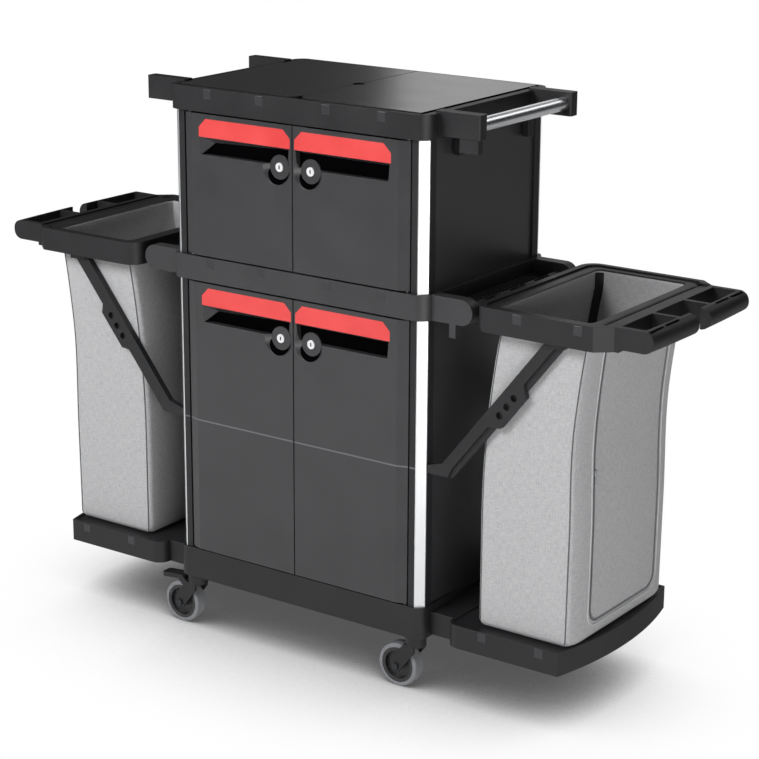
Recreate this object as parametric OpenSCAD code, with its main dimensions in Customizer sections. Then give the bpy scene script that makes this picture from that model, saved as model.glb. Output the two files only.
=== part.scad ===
// Housekeeping cart: a two-storey locking cabinet on swivel casters, with a hinged lid deck,
// a push bar and two fold-up bag rims over bag trays.
// Millimetres. Origin on the floor under the middle of the cart, +X to the push bar,
// +Y to the back, +Z up.

/* [Cabinet] */
// Width of the cabinet over its corner posts
cab_w = 682; // [620:1:760]
// Depth of the cabinet over its corner posts
cab_d = 470; // [440:1:520]
// Height of the lower compartments
lower_h = 651; // [560:1:720]
// Height of the upper compartments
upper_h = 328; // [280:1:400]
// How far the frames stand out past the posts
overhang = 8; // [6:0.5:12]
// Thickness of the side and back panels
panel_t = 6; // [4:0.5:8]
// Thickness of the middle dividers
divider_t = 12; // [8:1:16]

/* [Base] */
// Height of the base skirt
base_h = 73; // [60:1:90]
// Thickness of the base deck
deck_t = 8; // [7:0.5:12]
// Wall of the base skirt
skirt_t = 5; // [4:0.5:8]
// How far the base stands out past the posts
base_lip = 4; // [2:0.5:6]
// Radius of the base corners in plan
base_r = 22; // [14:1:30]

/* [Posts] */
// Width of the bevel that carries the bright strip, along each side
post_bevel = 15.5; // [13:0.5:19]
// Width of a post's front flange
post_front = 34; // [30:0.5:38]
// Width of a post's side flange
post_side = 40; // [34:1:50]
// Wall of a post
post_t = 5; // [4:0.5:7]
// Thickness of the bright strip
strip_t = 2; // [1:0.25:3]

/* [Middle frame] */
// Height of the middle frame's fascia
ledge_h = 56; // [48:1:66]
// Thickness of the floor that the middle frame gives the upper compartments
shelf_t = 12; // [11:0.5:16]
// Wall of the middle frame at its front and back
ledge_wall = 24; // [22:0.5:30]
// Radius of the frame corners in plan
frame_r = 30; // [20:1:40]
// How far the side arms set back from the fascia
arm_setback = 27; // [18:1:36]
// Thickness of a side arm
arm_t = 28; // [24:1:34]
// Distance of the rim hinge from the cabinet side
hinge_out = 80; // [70:1:95]
// Thickness of the side channel's floor
channel_t = 10; // [6:1:14]
// Height of the ribs in the side channel
rib_h = 8; // [4:1:12]

/* [Top] */
// Height of the top fascia
fascia_h = 54; // [48:1:64]
// Thickness of the top frame's floor
well_t = 8; // [5:1:12]
// Width of the ring that carries the lids
lid_ledge = 38; // [34:1:46]
// Thickness of a lid
lid_t = 8; // [6:0.5:10]
// Height of a lid above the fascia
lid_proud = 2; // [1:0.5:3]
// Width of the fascia's top edge in front of the lids
lid_margin = 13; // [12.5:0.5:18]
// Gap round a lid
lid_gap = 3; // [2:0.5:5]
// Radius of a lid's corners at the seam
lid_r = 28; // [10:1:40]
// Reach of the corner ears past the posts
ear_out = 106; // [95:1:120]
// Thickness of an ear
ear_t = 29; // [24:1:36]
// Height of an ear
ear_h = 52; // [46:1:60]
// How far the ears set back from the fascia
ear_setback = 47; // [40:1:60]
// Radius of the push bar
bar_r = 15; // [12:0.5:17]
// Wall of the push bar tube
bar_wall = 2.5; // [1.5:0.5:4]
// Distance of the push bar from the cabinet side
bar_out = 84; // [75:1:86]

/* [Doors] */
// Thickness of a door
door_t = 19; // [18:0.5:22]
// Gap above and below a door
door_gap = 4; // [3:0.5:6]
// Gap between the two doors of a storey
seam_gap = 3; // [2:0.5:5]
// Width of the bevel on a door's hinge side
door_bevel = 25; // [18:1:36]
// Depth of the bevel on a door's hinge side
bevel_depth = 8.5; // [6:0.5:9.5]
// Gap between a door and its post
post_gap = 4; // [3.5:0.5:6]
// Height of a grip
grip_h = 41; // [34:1:48]
// Thickness of a grip
grip_t = 9; // [7:0.5:10]
// Corner cut of a grip
grip_cut = 19; // [12:1:24]
// Gap from the door's top edge to its grip
grip_drop = 10; // [7:0.5:16]
// Distance of a grip from the seam
grip_inset = 6; // [5:0.5:12]
// Gap from a grip to the door's bevel
grip_margin = 19; // [8:1:26]
// Height of the finger slot under a grip
slot_h = 39; // [28:1:44]
// Depth of the finger slot
slot_depth = 15; // [13:0.5:15.5]
// Distance of a lock from the seam
lock_x = 42; // [40:1:48]
// Distance of a lock below its grip
lock_drop = 45; // [42:1:52]
// Outer radius of the lock dish
dish_r = 38; // [32:1:39]
// Depth of the lock dish
dish_depth = 11.5; // [8:0.5:12]
// Radius of a lock plug
plug_r = 8; // [7:0.5:9.5]
// Length of a lock cam from the lock's axis
cam_l = 30; // [28:1:33]

/* [Bag rims] */
// Distance of the rim's inner wall from its hinge
rim_in = 42; // [36:1:48]
// Length of the rim frame along X
rim_l = 330; // [318:1:345]
// How far the rim stands out past the posts at its front and back
rim_lip = 3; // [-4:0.5:6]
// Height of the rim
rim_h = 53; // [51:0.5:60]
// Wall of the rim at its front and back
rim_wall = 12; // [8:1:14]
// Wall of the rim beside the hinge
rim_in_wall = 15; // [10:1:20]
// Width of the outer bar of the rim
rim_bar = 35; // [28:1:40]
// Radius of the rim's corners beside the hinge
rim_r = 38; // [24:1:46]
// Length of the chamfer at the rim's outer corners
rim_cut = 43; // [30:1:46]
// Width of the ridge along the outer bar
ridge_w = 13; // [8:1:20]
// Depth of the step inside that ridge
rim_step = 4; // [2:0.5:8]
// Reach of the handles past the rim frame, at the middle
handle_out = 84; // [76:1:96]
// How much the handles' outer edge bows
handle_bow = 5; // [3:1:16]
// Height of the handles
handle_h = 46; // [38:1:46]
// Width of a handle's grip
handle_w = 25; // [24.5:0.5:30]
// Radius of the handles' outer corners in plan
handle_r = 10; // [5:0.5:11]
// How far the handles set back from the posts' front
handle_back = 25; // [14:1:34]
// Half width of the gap between the two handles
notch_y = 25; // [16:1:32]
// Half width of the hook notch behind that gap
hook_y = 62; // [50:1:76]
// Thickness of the webs beside the notch
web_t = 10; // [7:1:14]
// Radius of the hinge rods
rod_r = 5; // [4:0.5:6]
// Outer radius of a hinge knuckle
knuckle_r = 13; // [11:0.5:15]
// Length of a hinge knuckle
knuckle_l = 36; // [26:1:44]

/* [Struts] */
// Height of the underside of the strut's foot
foot_z = 513; // [460:1:560]
// Height of the strut's foot
foot_h = 17; // [14:1:24]
// Distance of the strut's inner knee from the cabinet side
knee_out = 41; // [34:1:50]
// Rise of the strut's inner knee over the foot's underside
knee_up = 29; // [26:1:36]
// Distance of the strut from the cabinet side where it meets the rim
strut_out = 290; // [270:1:310]
// Thickness of a strut
strut_t = 15; // [12:1:15.5]
// Width of a strut's raised face
strut_face = 24; // [18:1:28]
// Width of a strut over its set-back flange
strut_w = 37; // [32:1:40]
// Depth by which the flange sets back
flange_back = 6; // [3:0.5:9]
// Width of the strut's middle plate
plate_w = 47; // [44:1:52]
// Radius of the hook sockets in the strut
socket_r = 8; // [6:0.5:9]
// Depth of the hook sockets
socket_depth = 9; // [5:0.5:10]

/* [Bags and trays] */
// Length of a tray along X at its front edge
tray_l = 285; // [275:1:305]
// How far a tray's outer edge bows
tray_bow = 31; // [26:1:60]
// Length of the neck between the base and a tray
neck_l = 60; // [54:1:66]
// Height of a tray
tray_h = 53; // [44:1:60]
// Drop of a tray's top below the base deck
tray_drop = 15; // [8:1:24]
// Thickness of a tray's floor
tray_floor = 8; // [6:1:12]
// Depth of the tray's recess
tray_recess = 3; // [2:0.5:5]
// Width of the lip round a tray
tray_lip = 7; // [5:0.5:8]
// Half width of a bag at its foot
bag_x = 114; // [98:1:115]
// How far a bag sets back from the posts' front
bag_back = 32; // [31:1:50]
// Thickness of a bag's wall
bag_t = 3; // [2:0.5:4]
// Corner radius of a bag
bag_r = 12; // [11:1:28]
// Height of the bag's hem inside the rim
hem_h = 12; // [8:1:15]

/* [Casters] */
// Diameter of a wheel
wheel_d = 100; // [90:1:112]
// Width of a wheel
wheel_w = 32; // [26:1:36]
// Distance of the wheel axle behind the stem
trail = 38; // [32:1:44]
// Height from the top of a wheel to the base skirt
fork_room = 28; // [26:1:36]
// Distance of a stem from the post's side plane
stem_in_x = 28; // [26:1:40]
// Distance of a stem from the post's front plane
stem_in_y = 23; // [22:1:40]
// Radius of a stem
stem_r = 6; // [5:0.5:8]
// Thickness of a fork leg
leg_t = 5; // [3:0.5:6]
// Radius of an axle
axle_r = 5; // [4:0.5:6]
// Radial thickness of a tyre
tyre_t = 9; // [8:0.5:13]
// Length of a brake pedal past its pivot
pedal_l = 66; // [50:1:74]

/* [Hidden] */
$fn = 64;
// Radial running clearance of pins, rods, stems and axles
fit = 0.05;
// Gap left between a seated piece and its seat
seat = 0.3;
// Overrun that keeps a cut clear of the face it starts from
over = 1;
black = "#232427";
grey = "#2e2f33";
coral = "#d8323a";
bright = "#d4d6d9";
steel = "#9a9da2";
rubber = "#77797d";
cloth = "#b9babc";

post_x = cab_w / 2;
post_y = cab_d / 2;
frame_x = post_x + overhang;
frame_y = post_y + overhang;
skirt_z = wheel_d + fork_room;
base_top = skirt_z + base_h;
base_x = post_x + base_lip;
base_y = post_y + base_lip;
mid_z = base_top + lower_h;
ledge_top = mid_z + ledge_h;
top_z = ledge_top + upper_h;
deck_z = top_z + fascia_h;

// Door hinge pins
pin_r = 3;
pin_in = 14;
pin_in_deck = 6;
pin_in_shelf = 10;
pin_side = 9;
pin_back = 5;
door_out = post_x - post_front - post_gap;
door_in = seam_gap / 2;
door_back = door_t - frame_y;
hinge_x = door_out - pin_side;
hinge_y = door_back - pin_back;
lower_door_z = base_top + door_gap;
lower_door_h = lower_h - 2 * door_gap;
upper_door_z = ledge_top + door_gap;
upper_door_h = upper_h - 2 * door_gap;
grip_w = door_out - door_bevel - grip_margin - grip_inset;
slot_slope = 3;
slot_inset = 3;
slot_undercut = 12;

// Post sections and the panels that lap behind their flanges
strip_across = strip_t * sqrt(2);
post_fold = post_t * tan(22.5);
panel_lap = 10;
panel_x = post_x - post_t;
panel_y = post_y - post_side + panel_lap;
back_y = post_y - post_t;
back_x = post_x - post_bevel - strip_across - post_fold - seat;
divider_clear = 2;

// Lock planes, from front to back
plug_proud = 3;
flange_extra = 2;
strike_t = 4;
strike_gap = 3;
strike_w = 52;
cam_gap = 3;
cam_t = 3;
cam_w = 14;
cam_tail = 8;
strike_y = door_back + strike_gap;
cam_y = strike_y + strike_t + cam_gap;
key_w = 3;
key_h = 8;
key_depth = 2;

// Side arms, channels and rim hinge
hinge_at = post_x + hinge_out;
hinge_z = mid_z + ledge_h / 2;
arm_y1 = frame_y - arm_setback;
arm_y0 = arm_y1 - arm_t;
rod_in_arm = 21;
channel_clear = 4;
channel_x1 = hinge_at - knuckle_r - channel_clear;
channel_drop = 10;
rib_t = 3;
rib_n = 4;
side_wall_in = 3;
side_wall = frame_x - panel_x + panel_t + side_wall_in;
lug_w = 16;
lug_h = 30;
lug_t = 20;

// Lid well, rebate, hinge channel and pins
lid_end = 19;
lid_swing = 4;
lid_axis_in = 4;
lid_axis_drop = 1;
lid_edge_r = 2;
well_end = 11;
rebate_x = frame_x - lid_end;
rebate_y = frame_y - lid_margin;
lid_z = deck_z + lid_proud - lid_t;
lid_out = rebate_x - lid_gap - lid_swing;
lid_y = rebate_y - lid_gap;
lid_axis_x = lid_out - lid_axis_in;
lid_axis_z = lid_z - lid_axis_drop;
lid_barrel = 6;
lid_channel = 13;
lid_pin_in = 9;
lid_pin_l = 12;
well_r = 20;
notch_r = 14;

// Ears and push bar
ear_x = post_x + ear_out;
ear_y1 = frame_y - ear_setback;
ear_y0 = ear_y1 - ear_t;
ear_rise = 4;
ear_z = deck_z + ear_rise - ear_h;
ear_r = 5;
bar_x = post_x + bar_out;
bar_z = ear_z + ear_h / 2;
bar_in = 14;
ear_lug_h = 30;
ear_lug_t = 18;
ear_lug_l = 46;
ear_lug_back = 2;

// Hook blocks that hang from the top frame's right side
block_in = 119;
block_out = 151;
block_w = 26;
block_h = 44;
block_t = 16;

// Rims and handles
rim_top = ledge_top;
rim_y = post_y + rim_lip;
handle_y = post_y - handle_back;
rim_z = rim_top - rim_h;
rim_x0 = hinge_at + rim_in;
rim_x1 = rim_x0 + rim_l;
opening_x0 = rim_x0 + rim_in_wall;
opening_x1 = rim_x1 - rim_bar;
opening_y = rim_y - rim_wall;
opening_r = 28;
step_y = opening_y - opening_r / 2;
cut_in = 10;
handle_x = rim_x1 + handle_out;
handle_z = rim_top - handle_h;
nose_r = handle_h / 2;
bow_r = (handle_y * handle_y + handle_bow * handle_bow) / (2 * handle_bow);
bow_a = asin((handle_y + over) / bow_r);
wall_end = handle_x - (handle_w + nose_r) / 2;
knuckle_n = 4;
knuckle_span = 300;
knuckle_web = 14;
pocket_w = 6;
pocket_depth = 30;
pocket_wall = 4;
pocket_n = 2;
pocket_l = 58;
pocket_gap = 8;

// Struts
strut_inset = 6;
strut_in_rim = 12;
strut_y = rim_y - rim_wall - strut_inset;
strut_foot = post_x + seat;
knee = [post_x + knee_out, foot_z + knee_up];
strut_run = [post_x + strut_out, rim_z] - knee;
strut_len = norm(strut_run) + strut_in_rim;
strut_a = atan2(strut_run[1], strut_run[0]);
elbow_s = 8;
pad_w = 44;
pad_h = 18;
plate_s0 = 150;
plate_s1 = 290;
plate_slope = 22;
socket_s = 220;
socket_w = 27;
socket_n = 3;
socket_step = 28;

// Trays
tray_x0 = base_x + neck_l;
tray_x1 = tray_x0 + tray_l;
tray_y = post_y;
tray_top = base_top - tray_drop;
tray_z = tray_top - tray_h;
tray_r = 30;
tray_wall = 5;
neck_inset = 32;
neck_y = tray_y - neck_inset;
neck_in = 6;
tray_bow_r = (tray_y * tray_y + tray_bow * tray_bow) / (2 * tray_bow);

// Bags: centre, half sizes and corner radius follow the height
bag_z = tray_top - tray_recess + seat;
hem_drop = 13;
bag_y = post_y - bag_back;
bag_shift = 32;
bag_lean_from = 0.36;
bag_top = rim_top - hem_drop;
bag_foot_x = tray_x0 + tray_l / 2 + bag_shift;
bag_head_x = (opening_x0 + opening_x1) / 2;
hem_x = (opening_x1 - opening_x0) / 2 - seat;
hem_y = opening_y - seat;
hem_flare = 6;
neck_x = 110;
bag_lean_z = bag_z + (bag_top - bag_z) * bag_lean_from;
bag_corner_n = 6;
bag_body_n = 9;
foot_round = 7;

// Casters
stem_x = post_x - stem_in_x;
stem_y = post_y - stem_in_y;
stem_l = 50;
boss_r = 24;
wheel_r = wheel_d / 2;
side_play = 2.5;
leg_y = wheel_w / 2 + side_play;
head_r = 24;
head_drop = 6;
head_h = fork_room - seat - head_drop;
head_z = skirt_z - seat - head_h;
bridge_back = 18;
bridge_front = 10;
axle_boss = 14;
leg_drop = 10;
leg_waist = 4;
axle_head_r = 8;
axle_head_t = 4;
hub_r = wheel_r - tyre_t - fit;
hub_recess = 0.5;
hub_rim_t = 8;
hub_web_t = 14;
hub_boss_r = 12;
tread_r = 4;
pedal_t = 11;
pedal_w = 30;
pedal_back = 33;
pedal_up = 12;
pedal_pivot = [-pedal_back, wheel_d + pedal_up];
pedal_pin_r = 3;
pedal_lug_r = 8;
lug_in = 6;
pedal_barrel_r = 6;
pedal_slope = -5;

SIDES = [-1, 1];
CASTERS = [["front_left", -1, -1], ["front_right", 1, -1], ["rear_left", -1, 1], ["rear_right", 1, 1]];

// Shared shapes

// The children as drawn for +X, mirrored for the left side
module sided(s) {
    if (s > 0)
        children();
    else
        mirror([1, 0, 0]) children();
}

// The children as drawn for the front, mirrored for the back
module ended(s) {
    if (s < 0)
        children();
    else
        mirror([0, 1, 0]) children();
}

// Rectangle with four round corners
module round_rect(x0, x1, y0, y1, r) {
    translate([x0 + r, y0]) square([x1 - x0 - 2 * r, y1 - y0]);
    translate([x0, y0 + r]) square([x1 - x0, y1 - y0 - 2 * r]);
    for (cx = [x0 + r, x1 - r], cy = [y0 + r, y1 - r])
        translate([cx, cy]) circle(r);
}

// An outline in X and Z, as thick as depth, starting at y0
module upright(y0, depth) {
    translate([0, y0 + depth, 0]) rotate([90, 0, 0]) linear_extrude(depth) children();
}

// A cylinder along Y from y0 to y1
module rod_y(x, z, r, y0, y1) {
    translate([x, y0, z]) rotate([-90, 0, 0]) cylinder(r = r, h = y1 - y0);
}

// A box from its lowest to its highest corner
module box(a, b) {
    translate(a) cube(b - a);
}

// A flat bar between two points of an outline
module bar2d(p, q, w) {
    translate(p) rotate(atan2(q[1] - p[1], q[0] - p[0])) translate([0, -w / 2]) square([norm(q - p), w]);
}

// Base and trays

module base_platform() {
    color(black) difference() {
        translate([0, 0, skirt_z]) linear_extrude(base_h)
            round_rect(-base_x, base_x, -base_y, base_y, base_r);
        difference() {
            translate([0, 0, skirt_z - over]) linear_extrude(base_h - deck_t + over)
                round_rect(-base_x + skirt_t, base_x - skirt_t, -base_y + skirt_t, base_y - skirt_t,
                    base_r - skirt_t);
            for (sx = SIDES, sy = SIDES)
                translate([sx * stem_x, sy * stem_y, skirt_z - 2 * over]) cylinder(r = boss_r, h = base_h);
        }
        for (sx = SIDES, sy = SIDES)
            translate([sx * stem_x, sy * stem_y, skirt_z - over])
                cylinder(r = stem_r + fit, h = stem_l + 2 * over);
        for (sx = SIDES)
            translate([sx * hinge_x, hinge_y, base_top - pin_in_deck])
                cylinder(r = pin_r + fit, h = pin_in_deck + over);
    }
}

// Plan of a tray, drawn in by inset on every edge
module tray_plan(inset) {
    intersection() {
        translate([tray_x1 + tray_bow - tray_bow_r, 0]) circle(tray_bow_r - inset, $fn = 128);
        round_rect(tray_x0 + inset, tray_x1 + tray_bow + tray_r - inset, -tray_y + inset, tray_y - inset,
            tray_r - inset);
    }
}

module bag_tray(s) {
    color(black) sided(s) difference() {
        union() {
            translate([0, 0, tray_z]) linear_extrude(tray_h) tray_plan(0);
            box([base_x, -neck_y, tray_z], [tray_x0 + tray_r, neck_y, tray_top]);
        }
        translate([0, 0, tray_top - tray_recess]) linear_extrude(tray_recess + over) tray_plan(tray_lip);
        translate([0, 0, tray_z - over]) linear_extrude(tray_h - tray_recess - tray_floor + over)
            tray_plan(tray_wall);
        box([base_x + neck_in, -neck_y + neck_in, tray_z - over],
            [tray_x0 + tray_r, neck_y - neck_in, tray_top - tray_floor]);
    }
}

// Cabinet

// Section of a corner post, drawn for the front right corner
module post_section() {
    b = post_bevel + strip_across;
    translate([post_x, -post_y]) mirror([1, 0]) polygon([
        [b, 0], [post_front, 0], [post_front, post_t], [b + post_fold, post_t],
        [post_t, b + post_fold], [post_t, post_side], [0, post_side], [0, b]
    ]);
}

// Section of the bright strip on a post's bevel
module strip_section() {
    b = post_bevel;
    c = post_bevel + strip_across;
    translate([post_x, -post_y]) mirror([1, 0]) polygon([[b, 0], [c, 0], [0, c], [0, b]]);
}

// The children at all four corners and in both storeys
module at_corners() {
    for (sx = SIDES, sy = SIDES)
        sided(sx) ended(sy) {
            translate([0, 0, base_top]) linear_extrude(lower_h) children();
            translate([0, 0, ledge_top]) linear_extrude(upper_h) children();
        }
}

module corner_posts() {
    color(black) at_corners() post_section();
}

module corner_strips() {
    color(bright) at_corners() strip_section();
}

module side_panels(z, h) {
    color(grey) for (s = SIDES)
        sided(s) box([panel_x - panel_t, -panel_y, z], [panel_x, panel_y, z + h]);
}

module back_panels() {
    color(grey) {
        box([-back_x, back_y - panel_t, base_top], [back_x, back_y, mid_z]);
        box([-back_x, back_y - panel_t, ledge_top], [back_x, back_y, top_z]);
    }
}

// A divider between two compartments
module divider(z, h) {
    back = frame_y - ledge_wall - divider_clear;
    box([-divider_t / 2, strike_y + strike_t, z], [divider_t / 2, back, z + h]);
}

module cabinet_dividers() {
    color(grey) {
        divider(base_top, lower_h + ledge_h - shelf_t);
        divider(ledge_top, upper_h);
    }
}

// Plates on the dividers' front edges, which the lock cams turn behind
module lock_strikes() {
    color(steel) for (span = [[base_top, mid_z - door_gap], [ledge_top, top_z]])
        box([-strike_w / 2, strike_y, span[0]], [strike_w / 2, strike_y + strike_t, span[1]]);
}

// Bores for the hinge pins of a storey's doors: in the frame above and the frame below
module pin_bores(z, depth) {
    for (s = SIDES)
        translate([s * hinge_x, hinge_y, z]) cylinder(r = pin_r + fit, h = depth);
}

module mid_frame() {
    color(black) difference() {
        union() {
            translate([0, 0, mid_z]) linear_extrude(ledge_h)
                round_rect(-frame_x, frame_x, -frame_y, frame_y, frame_r);
            for (sx = SIDES, sy = SIDES)
                sided(sx) ended(sy) side_arm();
            arm_lug();
            for (s = SIDES)
                sided(s) side_channel();
        }
        translate([0, 0, mid_z - over]) linear_extrude(ledge_h - shelf_t + over)
            round_rect(-frame_x + side_wall, frame_x - side_wall,
                -frame_y + ledge_wall, frame_y - ledge_wall, frame_r / 2);
        pin_bores(mid_z - over, pin_in + over);
        pin_bores(ledge_top - pin_in_shelf, pin_in_shelf + over);
        for (sx = SIDES, sy = SIDES)
            sided(sx) ended(sy)
                rod_y(hinge_at, hinge_z, rod_r + fit, -arm_y0 - rod_in_arm, -arm_y0 + over);
    }
}

// An arm with a round end that carries one end of a rim's hinge rod, drawn for the front right
module side_arm() {
    upright(-arm_y1, arm_t) {
        translate([frame_x - ledge_wall, mid_z]) square([hinge_at - frame_x + ledge_wall, ledge_h]);
        translate([hinge_at, hinge_z]) circle(ledge_h / 2);
    }
}

// Hook lug under the front right arm
module arm_lug() {
    lug_x = hinge_at - knuckle_r - lug_w;
    box([lug_x, -arm_y1, mid_z - lug_h], [lug_x + lug_w, -arm_y1 + lug_t, mid_z + over]);
}

// Ribbed channel between the cabinet side and the rim hinge
module side_channel() {
    x0 = frame_x - over;
    floor_z = mid_z + channel_drop;
    pitch = (channel_x1 - frame_x) / (rib_n + 1);
    box([x0, -arm_y0 - over, floor_z], [channel_x1, arm_y0 + over, floor_z + channel_t]);
    for (i = [1 : rib_n])
        box([frame_x + i * pitch - rib_t / 2, -arm_y0 - over, floor_z],
            [frame_x + i * pitch + rib_t / 2, arm_y0 + over, floor_z + channel_t + rib_h]);
}

// Top deck

module top_frame() {
    well_x = frame_x - lid_ledge - well_end;
    well_y = frame_y - lid_ledge;
    color(black) difference() {
        union() {
            translate([0, 0, top_z]) linear_extrude(fascia_h)
                round_rect(-frame_x, frame_x, -frame_y, frame_y, frame_r);
            for (sx = SIDES, sy = SIDES)
                sided(sx) ended(sy) translate([0, 0, ear_z]) linear_extrude(ear_h)
                    round_rect(frame_x - lid_margin, ear_x, -ear_y1, -ear_y0, ear_r);
            box([ear_x - ear_r - ear_lug_l, -ear_y1 + ear_lug_back, ear_z - ear_lug_h],
                [ear_x - ear_r, -ear_y1 + ear_lug_back + ear_lug_t, ear_z + over]);
            for (y = [-block_in, block_out])
                box([post_x + seat, y - block_w / 2, top_z - block_h],
                    [post_x + block_t, y + block_w / 2, top_z + over]);
        }
        translate([0, 0, lid_z - seat]) linear_extrude(fascia_h)
            round_rect(-rebate_x, rebate_x, -rebate_y, rebate_y, well_r);
        translate([0, 0, top_z + well_t]) linear_extrude(fascia_h)
            round_rect(-well_x, well_x, -well_y, well_y, well_r);
        for (s = SIDES)
            sided(s) {
                box([lid_axis_x - lid_channel, -lid_y - lid_gap, lid_axis_z - lid_channel],
                    [rebate_x, lid_y + lid_gap, deck_z + over]);
                for (e = SIDES)
                    ended(e)
                        lid_pin_bore(-rebate_y - lid_pin_in, -rebate_y + over);
            }
        for (e = SIDES)
            ended(e) rod_y(bar_x, bar_z, bar_r + fit, -ear_y0 - bar_in, -ear_y0 + over);
        pin_bores(top_z - over, pin_in_shelf + over);
    }
}

module lid_pin_bore(y0, y1) {
    rod_y(lid_axis_x, lid_axis_z, pin_r + fit, y0, y1);
}

module lid(s) {
    color(black) sided(s) difference() {
        union() {
            translate([0, 0, lid_z]) linear_extrude(lid_t)
                difference() {
                    round_rect(door_in, lid_out, -lid_y, lid_y, lid_edge_r);
                    lid_corner();
                }
            rod_y(lid_axis_x, lid_axis_z, lid_barrel, -lid_y, lid_y);
        }
        for (e = SIDES)
            ended(e) lid_pin_bore(-lid_y - over, -lid_y + lid_pin_l);
        translate([0, 0, lid_z - over]) cylinder(r = notch_r, h = lid_t + 2 * over);
    }
}

// What the round corner of a lid leaves out, at the front of the seam
module lid_corner() {
    difference() {
        translate([door_in - over, -lid_y - over]) square(lid_r + over);
        translate([door_in + lid_r, -lid_y + lid_r]) circle(lid_r);
    }
}

module lid_hinge_pins() {
    y0 = -rebate_y - lid_pin_in + seat;
    y1 = -lid_y + lid_pin_l - seat;
    color(steel) for (sx = SIDES, e = SIDES)
        sided(sx) ended(e) rod_y(lid_axis_x, lid_axis_z, pin_r, y0, y1);
}

module push_bar() {
    l = ear_y0 + bar_in - seat;
    color(bright) difference() {
        rod_y(bar_x, bar_z, bar_r, -l, l);
        rod_y(bar_x, bar_z, bar_r - bar_wall, -l - over, l + over);
    }
}

// Doors, grips and locks, drawn for the right side; z is the door's underside and h its height

// Front outline of a grip
module grip_outline(z, h) {
    x0 = grip_inset;
    x1 = grip_inset + grip_w;
    z1 = z + h - grip_drop;
    z0 = z1 - grip_h;
    polygon([
        [x0, z0], [x1, z0], [x1, z1 - grip_cut], [x1 - grip_cut, z1],
        [x0 + grip_cut, z1], [x0, z1 - grip_cut]
    ]);
}

// Finger slot under a grip, with sloping ends, clear of the boss that carries the lock
module slot_outline(z0, rise) {
    x0 = grip_inset + slot_inset;
    x1 = grip_inset + grip_w - slot_inset;
    difference() {
        polygon([
            [x0 + slot_slope, z0 - slot_h], [x1 - slot_slope, z0 - slot_h],
            [x1, z0], [x1, z0 + rise], [x0, z0 + rise], [x0, z0]
        ]);
        translate([lock_x, z0 - lock_drop]) circle(dish_r - dish_depth);
    }
}

module door(s, z, h) {
    grip_z = z + h - grip_drop - grip_h;
    lock_z = grip_z - lock_drop;
    color(grey) sided(s) difference() {
        translate([0, 0, z]) linear_extrude(h) polygon([
            [door_in, -frame_y], [door_out - door_bevel, -frame_y],
            [door_out, -frame_y + bevel_depth], [door_out, door_back], [door_in, door_back]
        ]);
        upright(-frame_y - over, grip_t + over) grip_outline(z, h);
        upright(-frame_y - over, grip_t + over) slot_outline(grip_z, over);
        upright(-frame_y + grip_t - over, slot_depth - grip_t + over) slot_outline(grip_z, slot_undercut);
        translate([lock_x, -frame_y - over, lock_z]) rotate([-90, 0, 0])
            cylinder(r1 = dish_r + over, r2 = dish_r - dish_depth, h = dish_depth + over);
        rod_y(lock_x, lock_z, plug_r + fit, -frame_y, door_back + over);
        for (end = [z - over, z + h - pin_in])
            translate([hinge_x, hinge_y, end]) cylinder(r = pin_r + fit, h = pin_in + over);
    }
}

module grip(s, z, h) {
    color(coral) sided(s) upright(-frame_y, grip_t) grip_outline(z, h);
}

// Lock plug with its key slot and the cam behind the door, turned down to its open place
module lock(s, z, h) {
    lock_z = z + h - grip_drop - grip_h - lock_drop;
    dish_y = -frame_y + dish_depth;
    face_y = dish_y - plug_proud;
    color(steel) sided(s) difference() {
        union() {
            rod_y(lock_x, lock_z, plug_r, face_y, cam_y);
            rod_y(lock_x, lock_z, plug_r + flange_extra, face_y, dish_y - seat);
            box([lock_x - cam_w / 2, cam_y, lock_z - cam_l],
                [lock_x + cam_w / 2, cam_y + cam_t, lock_z + cam_tail]);
        }
        box([lock_x - key_w / 2, face_y - over, lock_z - key_h / 2],
            [lock_x + key_w / 2, face_y + key_depth, lock_z + key_h / 2]);
    }
}

module door_hinge_pins() {
    for (s = SIDES)
        color(steel) translate([s * hinge_x, hinge_y, 0]) {
            hinge_pin(base_top - pin_in_deck, lower_door_z + pin_in);
            hinge_pin(mid_z - door_gap - pin_in, mid_z + pin_in);
            hinge_pin(ledge_top - pin_in_shelf, upper_door_z + pin_in);
            hinge_pin(top_z - door_gap - pin_in, top_z + pin_in_shelf);
        }
}

// A pin that stops short of both bore ends
module hinge_pin(z0, z1) {
    translate([0, 0, z0 + seat]) cylinder(r = pin_r, h = z1 - z0 - 2 * seat);
}

// Bag rims

module bag_rim(s) {
    color(black) sided(s) difference() {
        union() {
            translate([0, 0, rim_z]) linear_extrude(rim_h) rim_plan();
            intersection() {
                union() {
                    handle_grip();
                    for (e = SIDES)
                        ended(e) handle_ends();
                }
                translate([0, 0, rim_z - over]) linear_extrude(rim_h + 2 * over)
                    round_rect(rim_x0, handle_x + over, -handle_y, handle_y, handle_r);
            }
            for (i = [0 : knuckle_n - 1])
                knuckle(knuckle_span * (i / (knuckle_n - 1) - 0.5));
        }
        box([rim_x1 + over, -notch_y, rim_z - over], [handle_x + over, notch_y, rim_top + over]);
        box([opening_x1 - over, -step_y, rim_top - rim_step], [rim_x1 - ridge_w, step_y, rim_top + over]);
        rod_y(hinge_at, hinge_z, rod_r + fit, -rim_y, rim_y);
        for (e = SIDES, i = [0 : pocket_n - 1])
            ended(e) grip_pocket(-hook_y - web_t - pocket_gap - i * (pocket_l + pocket_gap));
    }
}

// Slot in the top of a handle's grip, running forward from y
module grip_pocket(y) {
    x = handle_x - handle_w + pocket_wall;
    box([x, y - pocket_l, rim_top - pocket_depth], [x + pocket_w, y, rim_top + over]);
}

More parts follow.
